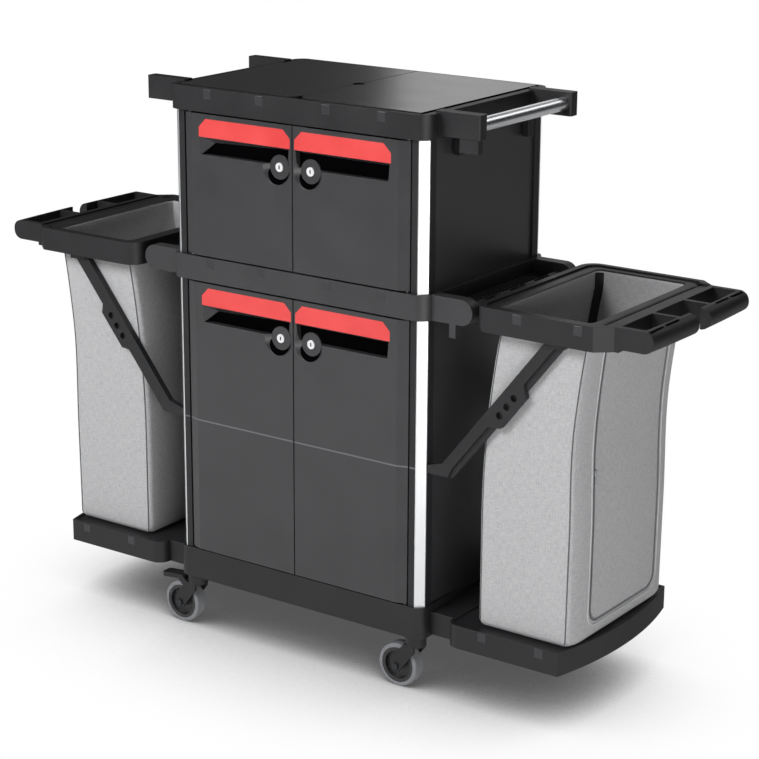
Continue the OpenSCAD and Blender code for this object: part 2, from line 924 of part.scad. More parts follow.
// Plan of the rim frame: round corners beside the hinge, chamfers down to the handles at the outer end
module rim_plan() {
    slope = (rim_cut - cut_in) / (rim_y - handle_y);
    difference() {
        intersection() {
            round_rect(rim_x0, rim_x1 + rim_r, -rim_y, rim_y, rim_r);
            for (e = SIDES)
                mirror([0, e < 0 ? 0 : 1]) polygon([
                    [rim_x0 - over, over], [rim_x0 - over, -rim_y - over],
                    [rim_x1 - rim_cut - over * slope, -rim_y - over], [rim_x1 - cut_in, -handle_y],
                    [rim_x1, -handle_y], [rim_x1, over]
                ]);
        }
        round_rect(opening_x0, opening_x1, -opening_y, opening_y, opening_r);
    }
}

// The bowed outer bar that the hands hold, with a round nose that shows at its ends
module handle_grip() {
    translate([handle_x - bow_r, 0, handle_z + nose_r]) rotate([0, 0, -bow_a])
        rotate_extrude(angle = 2 * bow_a, $fn = 256) translate([bow_r - nose_r, 0])
            difference() {
                union() {
                    circle(nose_r);
                    translate([-handle_w, -nose_r]) square([handle_w, handle_h]);
                }
                translate([-2 * handle_w, -handle_h]) square([handle_w + nose_r, 2 * handle_h]);
            }
}

// Front wall of a handle and the web beside the notch, both ending inside the grip
module handle_ends() {
    box([rim_x1 - over, -handle_y, handle_z], [wall_end - handle_bow, -handle_y + rim_wall, rim_top]);
    box([rim_x1 - over, -hook_y - web_t, handle_z], [wall_end, -hook_y, rim_top]);
}

// Hinge knuckle on the rim's inner wall
module knuckle(y) {
    rod_y(hinge_at, hinge_z, knuckle_r, y - knuckle_l / 2, y + knuckle_l / 2);
    box([hinge_at, y - knuckle_l / 2, hinge_z - knuckle_web / 2],
        [rim_x0 + over, y + knuckle_l / 2, hinge_z + knuckle_web / 2]);
}

module rim_hinge_rods() {
    l = arm_y0 + rod_in_arm - seat;
    color(steel) for (s = SIDES)
        sided(s) rod_y(hinge_at, hinge_z, rod_r, -l, l);
}

// Struts

// A point s along the strut from its knee and w across it to its outer side
function along(s, w) = knee + s * [cos(strut_a), sin(strut_a)] + w * [sin(strut_a), -cos(strut_a)];

// Outline of a strut as wide as w, without its plate
module strut_outline(w) {
    polygon([
        [strut_foot, foot_z], [along(-elbow_s, w)[0], foot_z], along(elbow_s, w),
        along(strut_len, w), along(strut_len, 0), knee, [strut_foot, foot_z + foot_h]
    ]);
}

// The plate that carries the hook sockets, with sloping ends
module strut_plate() {
    polygon([
        along(plate_s0, 0), along(plate_s0, strut_face), along(plate_s0 + plate_slope, plate_w),
        along(plate_s1 - plate_slope, plate_w), along(plate_s1, strut_face), along(plate_s1, 0)
    ]);
}

module strut(sx, sy) {
    pad = along(strut_len, strut_w / 2);
    color(black) sided(sx) ended(sy) difference() {
        union() {
            upright(-strut_y, strut_t) strut_outline(strut_face);
            upright(-strut_y, strut_t) strut_plate();
            upright(-strut_y + flange_back, strut_t - flange_back) strut_outline(strut_w);
            box([pad[0] - pad_w / 2, -rim_y + rim_wall, pad[1] - pad_h / 2],
                [pad[0] + pad_w / 2, -strut_y + strut_t, pad[1] + pad_h / 2]);
        }
        for (i = [0 : socket_n - 1])
            rod_socket(along(socket_s + (i - 1) * socket_step, socket_w));
    }
}

// Blind hook socket in the strut's outer face
module rod_socket(p) {
    rod_y(p[0], p[1], socket_r, -strut_y - over, -strut_y + socket_depth);
}

// Bags

// Share of the lean at height z: none at the foot, all of it at the rim
function lean(z) = z < bag_lean_z ? 0 : pow((z - bag_lean_z) / (body_top - bag_lean_z), 2);

// One ring of a bag: a rectangle with round corners, drawn in by inset
function bag_ring(cx, hx, hy, r, z, inset) = [
    for (c = [0 : 3], k = [0 : bag_corner_n - 1])
        let (a = 90 * (c + k / (bag_corner_n - 1)), sx = c == 0 || c == 3 ? 1 : -1, sy = c < 2 ? 1 : -1)
        [cx + sx * (hx - r) + (r - inset) * cos(a), sy * (hy - r) + (r - inset) * sin(a), z]
];

// Ring of the bag's body at height z
function body_ring(z, inset) = bag_ring(
    bag_foot_x + (bag_head_x - bag_foot_x) * lean(z),
    bag_x + (neck_x - bag_x) * lean(z), bag_y, bag_r, z, inset
);

body_top = bag_top - hem_h - hem_flare;
body_z = [for (i = [0 : bag_body_n]) bag_z + foot_round + (body_top - bag_z - foot_round) * i / bag_body_n];
outer_rings = concat(
    [bag_ring(bag_foot_x, bag_x, bag_y, bag_r, bag_z, foot_round)],
    [for (z = body_z) body_ring(z, 0)],
    [for (z = [bag_top - hem_h, bag_top]) bag_ring(bag_head_x, hem_x, hem_y, opening_r - seat, z, 0)]
);
inner_rings = concat(
    [for (z = [bag_top, bag_top - hem_h]) bag_ring(bag_head_x, hem_x, hem_y, opening_r - seat, z, bag_t)],
    [for (i = [bag_body_n : -1 : 0]) body_ring(body_z[i], bag_t)],
    [bag_ring(bag_foot_x, bag_x, bag_y, bag_r, bag_z + bag_t, foot_round + bag_t)]
);
bag_points = concat(outer_rings, inner_rings);
ring_n = 4 * bag_corner_n;
bag_faces = concat(
    [[for (j = [0 : ring_n - 1]) j]],
    [for (i = [0 : len(bag_points) - 2], j = [0 : ring_n - 1], f = [0, 1])
        let (a = i * ring_n, k = (j + 1) % ring_n)
        f == 0 ? [a + j, a + ring_n + j, a + ring_n + k] : [a + j, a + ring_n + k, a + k]],
    [[for (j = [ring_n - 1 : -1 : 0]) (len(bag_points) - 1) * ring_n + j]]
);

module bag(s) {
    color(cloth) sided(s) polyhedron(points = [for (r = bag_points) for (p = r) p], faces = bag_faces);
}

// Casters, drawn with the stem at the origin and the wheel trailing to -X

module at_caster(c) {
    translate([c[1] * stem_x, c[2] * stem_y, 0]) children();
}

module fork(braked) {
    half_w = leg_y + leg_t;
    color(black) difference() {
        union() {
            translate([0, 0, wheel_d + side_play])
                cylinder(r = head_r, h = fork_room - side_play - seat);
            translate([0, 0, head_z]) cylinder(r = stem_r, h = head_h + seat + stem_l);
            box([-bridge_back, -half_w, wheel_d + side_play], [bridge_front, half_w, head_z + over]);
            for (e = SIDES)
                ended(e) upright(-leg_y - leg_t, leg_t) fork_leg(braked);
        }
        rod_y(-trail, wheel_r, axle_r + fit, -half_w - over, half_w + over);
        if (braked)
            rod_y(pedal_pivot[0], pedal_pivot[1], pedal_pin_r + fit, -half_w - over, half_w + over);
    }
}

// Side plate of a fork, with a lug for the pedal pivot on a braked caster
module fork_leg(braked) {
    polygon([
        [bridge_front, head_z], [bridge_front, wheel_d - leg_drop],
        [-trail + axle_boss, wheel_r - leg_waist], [-trail - axle_boss, wheel_r],
        [-trail - axle_boss, wheel_r + leg_drop], [-bridge_back, head_z]
    ]);
    translate([-trail, wheel_r]) circle(axle_boss);
    if (braked) {
        translate(pedal_pivot) circle(pedal_lug_r);
        bar2d(pedal_pivot, [-bridge_back + lug_in, wheel_d - pedal_lug_r], 2 * pedal_lug_r);
    }
}

module tyre() {
    color(rubber) translate([-trail, 0, wheel_r]) rotate([90, 0, 0]) rotate_extrude() {
        r0 = wheel_r - tyre_t;
        translate([r0, -wheel_w / 2]) square([tyre_t - tread_r, wheel_w]);
        translate([r0, -wheel_w / 2 + tread_r]) square([tyre_t, wheel_w - 2 * tread_r]);
        for (e = SIDES)
            translate([wheel_r - tread_r, e * (wheel_w / 2 - tread_r)]) circle(tread_r);
    }
}

module hub() {
    color(grey) translate([-trail, 0, wheel_r]) rotate([90, 0, 0]) rotate_extrude() {
        bore = axle_r + fit;
        translate([bore, -wheel_w / 2]) square([hub_boss_r - bore, wheel_w]);
        translate([bore, -hub_web_t / 2]) square([hub_r - bore, hub_web_t]);
        translate([hub_r - hub_rim_t, -wheel_w / 2 + hub_recess])
            square([hub_rim_t, wheel_w - 2 * hub_recess]);
    }
}

module axle() {
    l = leg_y + leg_t;
    color(steel) {
        rod_y(-trail, wheel_r, axle_r, -l - over, l + over);
        for (e = SIDES)
            ended(e) rod_y(-trail, wheel_r, axle_head_r, -l - axle_head_t, -l);
    }
}

// Foot pedal of a brake, on its own pivot pins in the fork's legs
module pedal() {
    w = wheel_w / 2 + side_play / 2;
    px = pedal_pivot[0];
    pz = pedal_pivot[1];
    color(black) {
        rod_y(px, pz, pedal_pin_r, -leg_y - leg_t, leg_y + leg_t);
        rod_y(px, pz, pedal_barrel_r, -w, w);
        translate([px, 0, pz]) rotate([0, pedal_slope, 0]) translate([0, 0, -pedal_t / 2])
            linear_extrude(pedal_t) round_rect(-pedal_l, 0, -pedal_w / 2, pedal_w / 2, pedal_barrel_r);
    }
}

// Nodes

base_platform();
bag_tray(-1);  // left_bag_tray
bag_tray(1);  // right_bag_tray
corner_posts();
corner_strips();
side_panels(ledge_top, upper_h);  // upper_side_panels
side_panels(base_top, lower_h);  // lower_side_panels
back_panels();
cabinet_dividers();
lock_strikes();
mid_frame();
top_frame();
lid(-1);  // left_lid
lid(1);  // right_lid
lid_hinge_pins();
push_bar();
door(-1, upper_door_z, upper_door_h);  // upper_left_door
door(1, upper_door_z, upper_door_h);  // upper_right_door
door(-1, lower_door_z, lower_door_h);  // lower_left_door
door(1, lower_door_z, lower_door_h);  // lower_right_door
grip(-1, upper_door_z, upper_door_h);  // upper_left_grip
grip(1, upper_door_z, upper_door_h);  // upper_right_grip
grip(-1, lower_door_z, lower_door_h);  // lower_left_grip
grip(1, lower_door_z, lower_door_h);  // lower_right_grip
lock(-1, upper_door_z, upper_door_h);  // upper_left_lock
lock(1, upper_door_z, upper_door_h);  // upper_right_lock
lock(-1, lower_door_z, lower_door_h);  // lower_left_lock
lock(1, lower_door_z, lower_door_h);  // lower_right_lock
door_hinge_pins();
bag_rim(-1);  // left_bag_rim
bag_rim(1);  // right_bag_rim
rim_hinge_rods();
strut(-1, -1);  // left_front_strut
strut(-1, 1);  // left_rear_strut
strut(1, -1);  // right_front_strut
strut(1, 1);  // right_rear_strut
bag(-1);  // left_bag
bag(1);  // right_bag
for (c = CASTERS) {
    at_caster(c) fork(c[1] < 0);
    at_caster(c) tyre();
    at_caster(c) hub();
    at_caster(c) axle();
    if (c[1] < 0) at_caster(c) pedal();
}
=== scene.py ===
# %% [markdown]
# A housekeeping cart: a two-storey cabinet with locking doors, a lidded deck and a push bar, with a
# fold-up rim and a hanging bag at each end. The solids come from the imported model, already in place
# and in metres, so this lesson only dresses them: finishes, cloth, sewing and small fittings.

# %% Load the cart
import math
import bmesh
import bpy
from mathutils import Matrix, Vector


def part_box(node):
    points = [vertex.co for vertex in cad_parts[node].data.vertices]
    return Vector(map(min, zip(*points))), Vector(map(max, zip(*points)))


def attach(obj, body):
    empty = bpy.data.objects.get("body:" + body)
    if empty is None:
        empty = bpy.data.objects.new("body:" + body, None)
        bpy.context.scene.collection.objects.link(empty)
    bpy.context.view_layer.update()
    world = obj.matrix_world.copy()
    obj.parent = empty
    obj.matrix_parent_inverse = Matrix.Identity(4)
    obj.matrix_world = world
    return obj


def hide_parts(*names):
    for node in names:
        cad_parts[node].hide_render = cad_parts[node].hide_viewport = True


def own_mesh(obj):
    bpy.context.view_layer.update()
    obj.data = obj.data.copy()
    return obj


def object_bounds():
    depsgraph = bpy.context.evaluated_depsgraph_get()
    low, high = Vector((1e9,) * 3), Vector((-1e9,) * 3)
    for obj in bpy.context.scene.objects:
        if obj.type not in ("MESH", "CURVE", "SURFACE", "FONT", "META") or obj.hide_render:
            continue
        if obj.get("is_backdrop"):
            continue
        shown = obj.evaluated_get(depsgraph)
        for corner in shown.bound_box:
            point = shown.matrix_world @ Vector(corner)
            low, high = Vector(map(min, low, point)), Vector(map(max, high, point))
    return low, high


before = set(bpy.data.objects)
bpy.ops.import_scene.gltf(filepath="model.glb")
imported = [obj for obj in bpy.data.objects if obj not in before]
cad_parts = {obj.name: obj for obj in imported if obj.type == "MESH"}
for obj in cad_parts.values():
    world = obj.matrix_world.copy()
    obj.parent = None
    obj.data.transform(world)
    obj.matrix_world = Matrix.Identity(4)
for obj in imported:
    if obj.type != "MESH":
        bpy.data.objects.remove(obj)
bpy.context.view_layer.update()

MM = 0.001
SIDES = (("left", -1), ("right", 1))

# %% [markdown]
# Every new thing is data held by an object. Three small helpers put an object in the scene, turn an
# edit mesh to an object with its finishes, and let a piece ride on one of the cart's bodies.

# %% Object helpers
def link(name, data):
    """A new object in the scene that holds the data."""
    holder = bpy.data.objects.new(name, data)
    bpy.context.scene.collection.objects.link(holder)
    return holder


def from_bmesh(name, mesh, *materials):
    """An object made from an edit mesh, with its finishes."""
    data = bpy.data.meshes.new(name)
    mesh.to_mesh(data)
    mesh.free()
    for material in materials:
        data.materials.append(material)
    return link(name, data)


def carry(piece, body):
    """Lets a piece ride on a body."""
    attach(piece, body)
    return piece


# %% [markdown]
# The camera stands in front of the right-hand end and looks a little down, through a long lens. Its
# place was worked out from the cart's straight edges, so it is set by three numbers for the place,
# three for the direction, a slight roll and the focal length.

# %% Camera
CAMERA_PLACE = Vector((2.8408, -3.9260, 2.0611))
CAMERA_LOOK = Vector((-0.55355, 0.78177, -0.28710)).normalized()
CAMERA_ROLL = math.radians(0.31)
SENSOR_MM, LENS_MM = 36, 104.2
camera = link("camera", bpy.data.cameras.new("camera"))
horizon = CAMERA_LOOK.cross(Vector((0, 0, 1))).normalized()
right = horizon * math.cos(CAMERA_ROLL) + horizon.cross(CAMERA_LOOK) * math.sin(CAMERA_ROLL)
up = right.cross(CAMERA_LOOK)
camera_axes = Matrix((right, up, -CAMERA_LOOK)).transposed().to_4x4()
camera.matrix_world = Matrix.Translation(CAMERA_PLACE) @ camera_axes
camera.data.sensor_width = SENSOR_MM
camera.data.lens = LENS_MM
bpy.context.scene.camera = camera
bpy.context.scene.view_settings.view_transform = "Standard"
print("camera at", [round(v, 2) for v in CAMERA_PLACE], "lens", camera.data.lens)

# %% [markdown]
# Finishes are built from nodes. One function turns an sRGB hex colour to the linear values that the
# shaders want, and one adds a node with its settings and links. Every pattern gets its scale from a
# size in millimetres: a noise of scale 1 has features about a metre wide.

# %% Colour and node helpers
def srgb(text):
    """Linear RGBA of an sRGB hex colour."""
    values = [int(text[i:i + 2], 16) / 255 for i in (1, 3, 5)]
    return (*[v / 12.92 if v <= 0.04045 else ((v + 0.055) / 1.055) ** 2.4 for v in values], 1.0)


def add(tree, kind, settings=None, inputs=None):
    """A new node, with its settings and its inputs set or linked."""
    node = tree.nodes.new(kind)
    for name, value in (settings or {}).items():
        setattr(node, name, value)
    for key, value in (inputs or {}).items():
        if isinstance(value, bpy.types.NodeSocket):
            tree.links.new(value, node.inputs[key])
        else:
            node.inputs[key].default_value = value
    return node


def new_material(name):
    """An empty material with its shader, and the node tree that holds both."""
    material = bpy.data.materials.new(name)
    material.use_nodes = True
    tree = material.node_tree
    tree.nodes.clear()
    shader = add(tree, "ShaderNodeBsdfPrincipled")
    add(tree, "ShaderNodeOutputMaterial", None, {"Surface": shader.outputs[0]})
    return material, tree, shader


# %% [markdown]
# Most of the cart is injection-moulded plastic. The mould's spark-eroded skin gives it a fine grain
# that breaks up highlights, its colour wanders slightly, and every edge has a small radius that
# catches the light. The grain is drawn about 1.2 mm wide, coarser than the real 0.3 mm, because
# finer would not show at this distance.

# %% Moulded plastics
CLOUD_MM = 90
CLOUD_LOW, CLOUD_HIGH = 0.3, 0.7
GRAIN_STRENGTH = 0.35


def moulded_plastic(name, dark, light, roughness, grain_mm, bump_mm,
                    edge_mm=1.2, wander=0.04, specular=0.5):
    """A grained plastic whose colour and roughness wander in soft clouds."""
    material, tree, shader = new_material(name)
    place = add(tree, "ShaderNodeTexCoord").outputs["Object"]
    cloudy = add(tree, "ShaderNodeTexNoise", None, {
        "Vector": place, "Scale": 1000 / CLOUD_MM, "Detail": 3.0})
    colour = add(tree, "ShaderNodeValToRGB", None, {"Fac": cloudy.outputs["Fac"]})
    colour.color_ramp.elements[0].color = srgb(dark)
    colour.color_ramp.elements[1].color = srgb(light)
    colour.color_ramp.elements[0].position = CLOUD_LOW
    colour.color_ramp.elements[1].position = CLOUD_HIGH
    grain = add(tree, "ShaderNodeTexNoise", None, {
        "Vector": place, "Scale": 1000 / grain_mm, "Detail": 2.0})
    polish = add(tree, "ShaderNodeMapRange", None, {
        "Value": cloudy.outputs["Fac"], "From Min": CLOUD_LOW, "From Max": CLOUD_HIGH,
        "To Min": roughness - wander, "To Max": roughness + wander})
    edge = add(tree, "ShaderNodeBevel", {"samples": 4}, {"Radius": edge_mm * MM})
    bump = add(tree, "ShaderNodeBump", None, {
        "Height": grain.outputs["Fac"], "Distance": bump_mm * MM, "Strength": GRAIN_STRENGTH,
        "Normal": edge.outputs[0]})
    shader.inputs["IOR"].default_value = 1.5
    shader.inputs["Specular IOR Level"].default_value = specular
    tree.links.new(colour.outputs["Color"], shader.inputs["Base Color"])
    tree.links.new(polish.outputs["Result"], shader.inputs["Roughness"])
    tree.links.new(bump.outputs[0], shader.inputs["Normal"])
    return material


frame_plastic = moulded_plastic(
    "polypropylene_grained_black", "#19191b", "#1e1e20", 0.48, 1.2, 0.10, specular=0.35)
panel_plastic = moulded_plastic("abs_panel_satin_charcoal", "#2a2a2c", "#2f2f31", 0.36, 1.0, 0.05)
lid_plastic = moulded_plastic("abs_lid_satin_black", "#1d1d1f", "#212123", 0.24, 1.0, 0.02, wander=0.01)
grip_plastic = moulded_plastic("abs_grip_coral_red", "#c93837", "#d44342", 0.38, 1.0, 0.05)
hub_plastic = moulded_plastic("nylon_hub_black", "#1c1c1e", "#232325", 0.42, 1.2, 0.08)
mark_plastic = moulded_plastic("polypropylene_plug_grey", "#252528", "#2b2b2e", 0.36, 1.0, 0.04)
stripe_paint = moulded_plastic("enamel_stripe_grey", "#56565a", "#5f5f63", 0.42, 1.0, 0.02)
# Matte black without gloss, for sheets of painted shade: in the finger slots, low in the lock dishes and
# over the key slots.
painted_shade_black = moulded_plastic(
    "painted_shade_matte_black", "#030304", "#050506", 0.85, 1.2, 0.05, 0.3, specular=0.0)
ledge_plastic = moulded_plastic("polypropylene_grained_charcoal", "#29292b", "#2f2f31", 0.48, 1.2, 0.10)
print("plastics made")

# %% [markdown]
# The corner strips and the push bar are anodised aluminium, drawn through a die, so faint lines run
# along their length. Pins, rods, strikes and zip sliders are zinc-plated steel, the locks are
# nickel-plated brass, both with a slightly cloudy plating, and the axles are blackened steel. A
# stretched noise gives the drawn lines: it is squeezed across the length, and long along it.

# %% Metals
DRAWN_WANDER = 0.06
DRAWN_EDGE_MM, DRAWN_DEPTH_MM, DRAWN_STRENGTH = 0.5, 0.02, 0.3


def drawn_metal(name, dark, light, roughness, stretch, line_mm):
    """A metal with lines or clouds line_mm wide, drawn out along the axis with a small stretch."""
    material, tree, shader = new_material(name)
    place = add(tree, "ShaderNodeTexCoord").outputs["Object"]
    squeezed = add(tree, "ShaderNodeMapping", None, {"Vector": place, "Scale": stretch})
    lines = add(tree, "ShaderNodeTexNoise", None, {
        "Vector": squeezed.outputs[0], "Scale": 1000 / line_mm, "Detail": 3.0})
    colour = add(tree, "ShaderNodeValToRGB", None, {"Fac": lines.outputs["Fac"]})
    colour.color_ramp.elements[0].color = srgb(dark)
    colour.color_ramp.elements[1].color = srgb(light)
    polish = add(tree, "ShaderNodeMapRange", None, {
        "Value": lines.outputs["Fac"],
        "To Min": roughness - DRAWN_WANDER, "To Max": roughness + DRAWN_WANDER})
    edge = add(tree, "ShaderNodeBevel", {"samples": 4}, {"Radius": DRAWN_EDGE_MM * MM})
    bump = add(tree, "ShaderNodeBump", None, {
        "Height": lines.outputs["Fac"], "Distance": DRAWN_DEPTH_MM * MM, "Strength": DRAWN_STRENGTH,
        "Normal": edge.outputs[0]})
    shader.inputs["Metallic"].default_value = 1.0
    tree.links.new(colour.outputs["Color"], shader.inputs["Base Color"])
    tree.links.new(polish.outputs["Result"], shader.inputs["Roughness"])
    tree.links.new(bump.outputs[0], shader.inputs["Normal"])
    return material


strip_metal = drawn_metal("aluminium_anodised_upright", "#d8d9db", "#e6e7e8", 0.34, (1, 1, 0.01), 2.5)
bar_metal = drawn_metal("aluminium_anodised_tube", "#dcdddf", "#ebecee", 0.28, (1, 0.01, 1), 2.5)
zinc_metal = drawn_metal("steel_zinc_plated", "#b4b6b9", "#c9cbce", 0.32, (1, 1, 1), 6)
lock_metal = drawn_metal("brass_nickel_plated_lock", "#f0f0f1", "#fafafb", 0.5, (1, 1, 1), 6)
black_metal = drawn_metal("steel_black_oxide", "#3a3b3d", "#4a4b4d", 0.42, (1, 1, 1), 6)
print("metals made")

# %% [markdown]
# The tyres are grey thermoplastic rubber: matte, with fine pores and with scuffed patches that are
# paler and rougher. The pattern is read from each wheel's own coordinates, so it turns with it.

# %% Rubber
SCUFF_MM, PORE_MM, PORE_DEPTH_MM = 14, 1.5, 0.1
tyre_rubber, tree, shader = new_material("rubber_tyre_grey")
place = add(tree, "ShaderNodeTexCoord").outputs["Object"]
scuff = add(tree, "ShaderNodeTexNoise", None, {"Vector": place, "Scale": 1000 / SCUFF_MM, "Detail": 6.0})
colour = add(tree, "ShaderNodeValToRGB", None, {"Fac": scuff.outputs["Fac"]})
colour.color_ramp.elements[0].color = srgb("#5f6063")
colour.color_ramp.elements[1].color = srgb("#7b7c7f")
polish = add(tree, "ShaderNodeMapRange", None, {
    "Value": scuff.outputs["Fac"], "To Min": 0.5, "To Max": 0.75})
pores = add(tree, "ShaderNodeTexNoise", None, {"Vector": place, "Scale": 1000 / PORE_MM, "Detail": 2.0})
bump = add(tree, "ShaderNodeBump", None, {
    "Height": pores.outputs["Fac"], "Distance": PORE_DEPTH_MM * MM, "Strength": 0.4})
tree.links.new(colour.outputs["Color"], shader.inputs["Base Color"])
tree.links.new(polish.outputs["Result"], shader.inputs["Roughness"])
tree.links.new(bump.outputs[0], shader.inputs["Normal"])
print("rubber made")

# %% [markdown]
# The bags are woven polyester, a plain weave of light grey yarn. The yarns run along the bag's own
# UV map, which is in metres, so the weave follows the cloth round the corners. The real yarns are
# about 0.6 mm apart. They are drawn 2.4 mm apart, because finer ones would blur to flat grey, and
# yarns that are a little thicker here and there give the faint streaks along and across.

# %% Woven cloth and tapes
STREAK_RUNS = ((0.15, 1.0, 1), (1.0, 0.15, 1))
WEAVE_SHARE = 0.45


def woven_cloth(name, dark, light, yarn_mm, bump_mm):
    """A plain weave: two crossed sine waves, with streaks where yarns are thicker."""
    material, tree, shader = new_material(name)
    across = add(tree, "ShaderNodeUVMap", {"uv_map": "cloth"}).outputs[0]
    turns = 2 * math.pi * 1000 / (2 * yarn_mm)
    parts = add(tree, "ShaderNodeSeparateXYZ", None, {0: across})
    waves, streaks = [], []
    for way in (0, 1):
        phase = add(tree, "ShaderNodeMath", {"operation": "MULTIPLY"}, {0: parts.outputs[way], 1: turns})
        waves.append(add(tree, "ShaderNodeMath", {"operation": "SINE"}, {0: phase.outputs[0]}))
        run = add(tree, "ShaderNodeMapping", None, {"Vector": across, "Scale": STREAK_RUNS[way]})
        streaks.append(add(tree, "ShaderNodeTexNoise", None, {
            "Vector": run.outputs[0], "Scale": 1000 / yarn_mm, "Detail": 2.0}))
    over_under = add(tree, "ShaderNodeMath", {"operation": "MULTIPLY"}, {
        0: waves[0].outputs[0], 1: waves[1].outputs[0]})
    slub = add(tree, "ShaderNodeMath", {"operation": "ADD"}, {
        0: streaks[0].outputs["Fac"], 1: streaks[1].outputs["Fac"]})
    height = add(tree, "ShaderNodeMath", {"operation": "MULTIPLY_ADD"}, {
        0: over_under.outputs[0], 1: WEAVE_SHARE, 2: slub.outputs[0]})
    shade = add(tree, "ShaderNodeMapRange", None, {
        "Value": height.outputs[0], "From Min": 0.4, "From Max": 1.6})
    colour = add(tree, "ShaderNodeValToRGB", None, {"Fac": shade.outputs[0]})
    colour.color_ramp.elements[0].color = srgb(dark)
    colour.color_ramp.elements[1].color = srgb(light)
    bump = add(tree, "ShaderNodeBump", None, {
        "Height": height.outputs[0], "Distance": bump_mm * MM, "Strength": 0.5})
    shader.inputs["Roughness"].default_value = 0.85
    shader.inputs["Sheen Weight"].default_value = 0.15
    shader.inputs["Sheen Roughness"].default_value = 0.5
    tree.links.new(colour.outputs["Color"], shader.inputs["Base Color"])
    tree.links.new(bump.outputs[0], shader.inputs["Normal"])
    return material


bag_cloth = woven_cloth("polyester_plain_weave_grey", "#89898b", "#b5b5b6", 2.4, 0.4)
seam_thread = moulded_plastic("polyester_thread_dark_grey", "#4c4c4e", "#58585a", 0.8, 1.5, 0.1, 0.2)
# Black, for the strip of painted shade in each bag's rear inner corner.
corner_shade_paint = moulded_plastic("black_for_painted_corner_shade", "#19191a", "#202022", 0.8, 1.5, 0.1, 0.2)
piping_cord = moulded_plastic("polyester_piping_grey", "#b2b2b3", "#c4c4c5", 0.75, 1.5, 0.15, 0.2)
zip_nylon = moulded_plastic("nylon_zip_coil_grey", "#77777a", "#8a8a8d", 0.5, 1.2, 0.1, 0.2)
print("cloth and tapes made")

# %% [markdown]
# Each solid already has its place and shape, so it only gets its finish. A few words in a node's
# name say which, and the first word that fits is taken.

# %% Finishes for the solids
FINISHES = [
    ("strips", strip_metal), ("push_bar", bar_metal), ("pins", zinc_metal), ("rods", zinc_metal),
    ("strikes", zinc_metal), ("lock", lock_metal), ("axle", black_metal), ("grip", grip_plastic),
    ("tyre", tyre_rubber), ("hub", hub_plastic), ("mid_frame", ledge_plastic), ("lid", lid_plastic),
    ("door", panel_plastic), ("panels", panel_plastic), ("dividers", panel_plastic), ("", frame_plastic),
]
for name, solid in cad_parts.items():
    finish = next(material for word, material in FINISHES if word in name)
    for slot in solid.material_slots:
        slot.material = finish
print("finishes set on", len(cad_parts), "solids")

# %% [markdown]
# Small things that repeat are made by Geometry Nodes. Three trees do all of them: a tube along a
# path for seams and piping, a row of small blocks along a path for zip teeth, and a chamfered plug
# on points. Each tree ends in Realize Instances and Set Material, and the result is taken off the
# modifier as a plain mesh.

# %% Geometry Nodes helpers
def new_tree(name, inputs):
    """A Geometry Nodes tree with named inputs. Returns it, its input node and its output node."""
    tree = bpy.data.node_groups.new(name, "GeometryNodeTree")
    tree.interface.new_socket("Geometry", in_out="INPUT", socket_type="NodeSocketGeometry")
    tree.interface.new_socket("Geometry", in_out="OUTPUT", socket_type="NodeSocketGeometry")
    for label, kind in inputs:
        tree.interface.new_socket(label, in_out="INPUT", socket_type=kind)
    return tree, add(tree, "NodeGroupInput"), add(tree, "NodeGroupOutput")


def finish_tree(tree, source, result, geometry):
    """The end of every tree: real faces with the wanted finish."""
    real = add(tree, "GeometryNodeRealizeInstances", None, {0: geometry})
    painted = add(tree, "GeometryNodeSetMaterial", None, {
        "Geometry": real.outputs[0], "Material": source.outputs["Material"]})
    tree.links.new(painted.outputs[0], result.inputs[0])


def grow(name, tree, points, edges, sizes, body):
    """Runs a tree on a path or on points, and returns the plain mesh, riding on its body."""
    mesh = bpy.data.meshes.new(name)
    mesh.from_pydata([tuple(p) for p in points], edges, [])
    carrier = link(name + "_path", mesh)
    modifier = carrier.modifiers.new("grow", "NODES")
    modifier.node_group = tree
    sockets = {s.name: s.identifier for s in tree.interface.items_tree if s.in_out == "INPUT"}
    for label, value in sizes.items():
        modifier[sockets[label]] = value
    ready = carrier.evaluated_get(bpy.context.evaluated_depsgraph_get())
    made = link(name, bpy.data.meshes.new_from_object(ready))
    bpy.data.objects.remove(carrier)
    if "tube" in tree.name:
        made.data.shade_smooth()
    else:
        made.data.shade_flat()
    return carry(made, body)


def chain(n):
    """Edges that join n points in a row."""
    return [(i, i + 1) for i in range(n - 1)]


# %% Tube along a path
TUBE_SIDES = 8
tube_tree, source, result = new_tree("tube_along_path", [
    ("Radius", "NodeSocketFloat"), ("Material", "NodeSocketMaterial")])
line = add(tube_tree, "GeometryNodeMeshToCurve", None, {"Mesh": source.outputs["Geometry"]})
ring = add(tube_tree, "GeometryNodeCurvePrimitiveCircle", None, {
    "Resolution": TUBE_SIDES, "Radius": source.outputs["Radius"]})
skin = add(tube_tree, "GeometryNodeCurveToMesh", None, {
    "Curve": line.outputs[0], "Profile Curve": ring.outputs[0], "Fill Caps": True})
finish_tree(tube_tree, source, result, skin.outputs[0])
print(tube_tree.name, "of", len(tube_tree.nodes), "nodes")

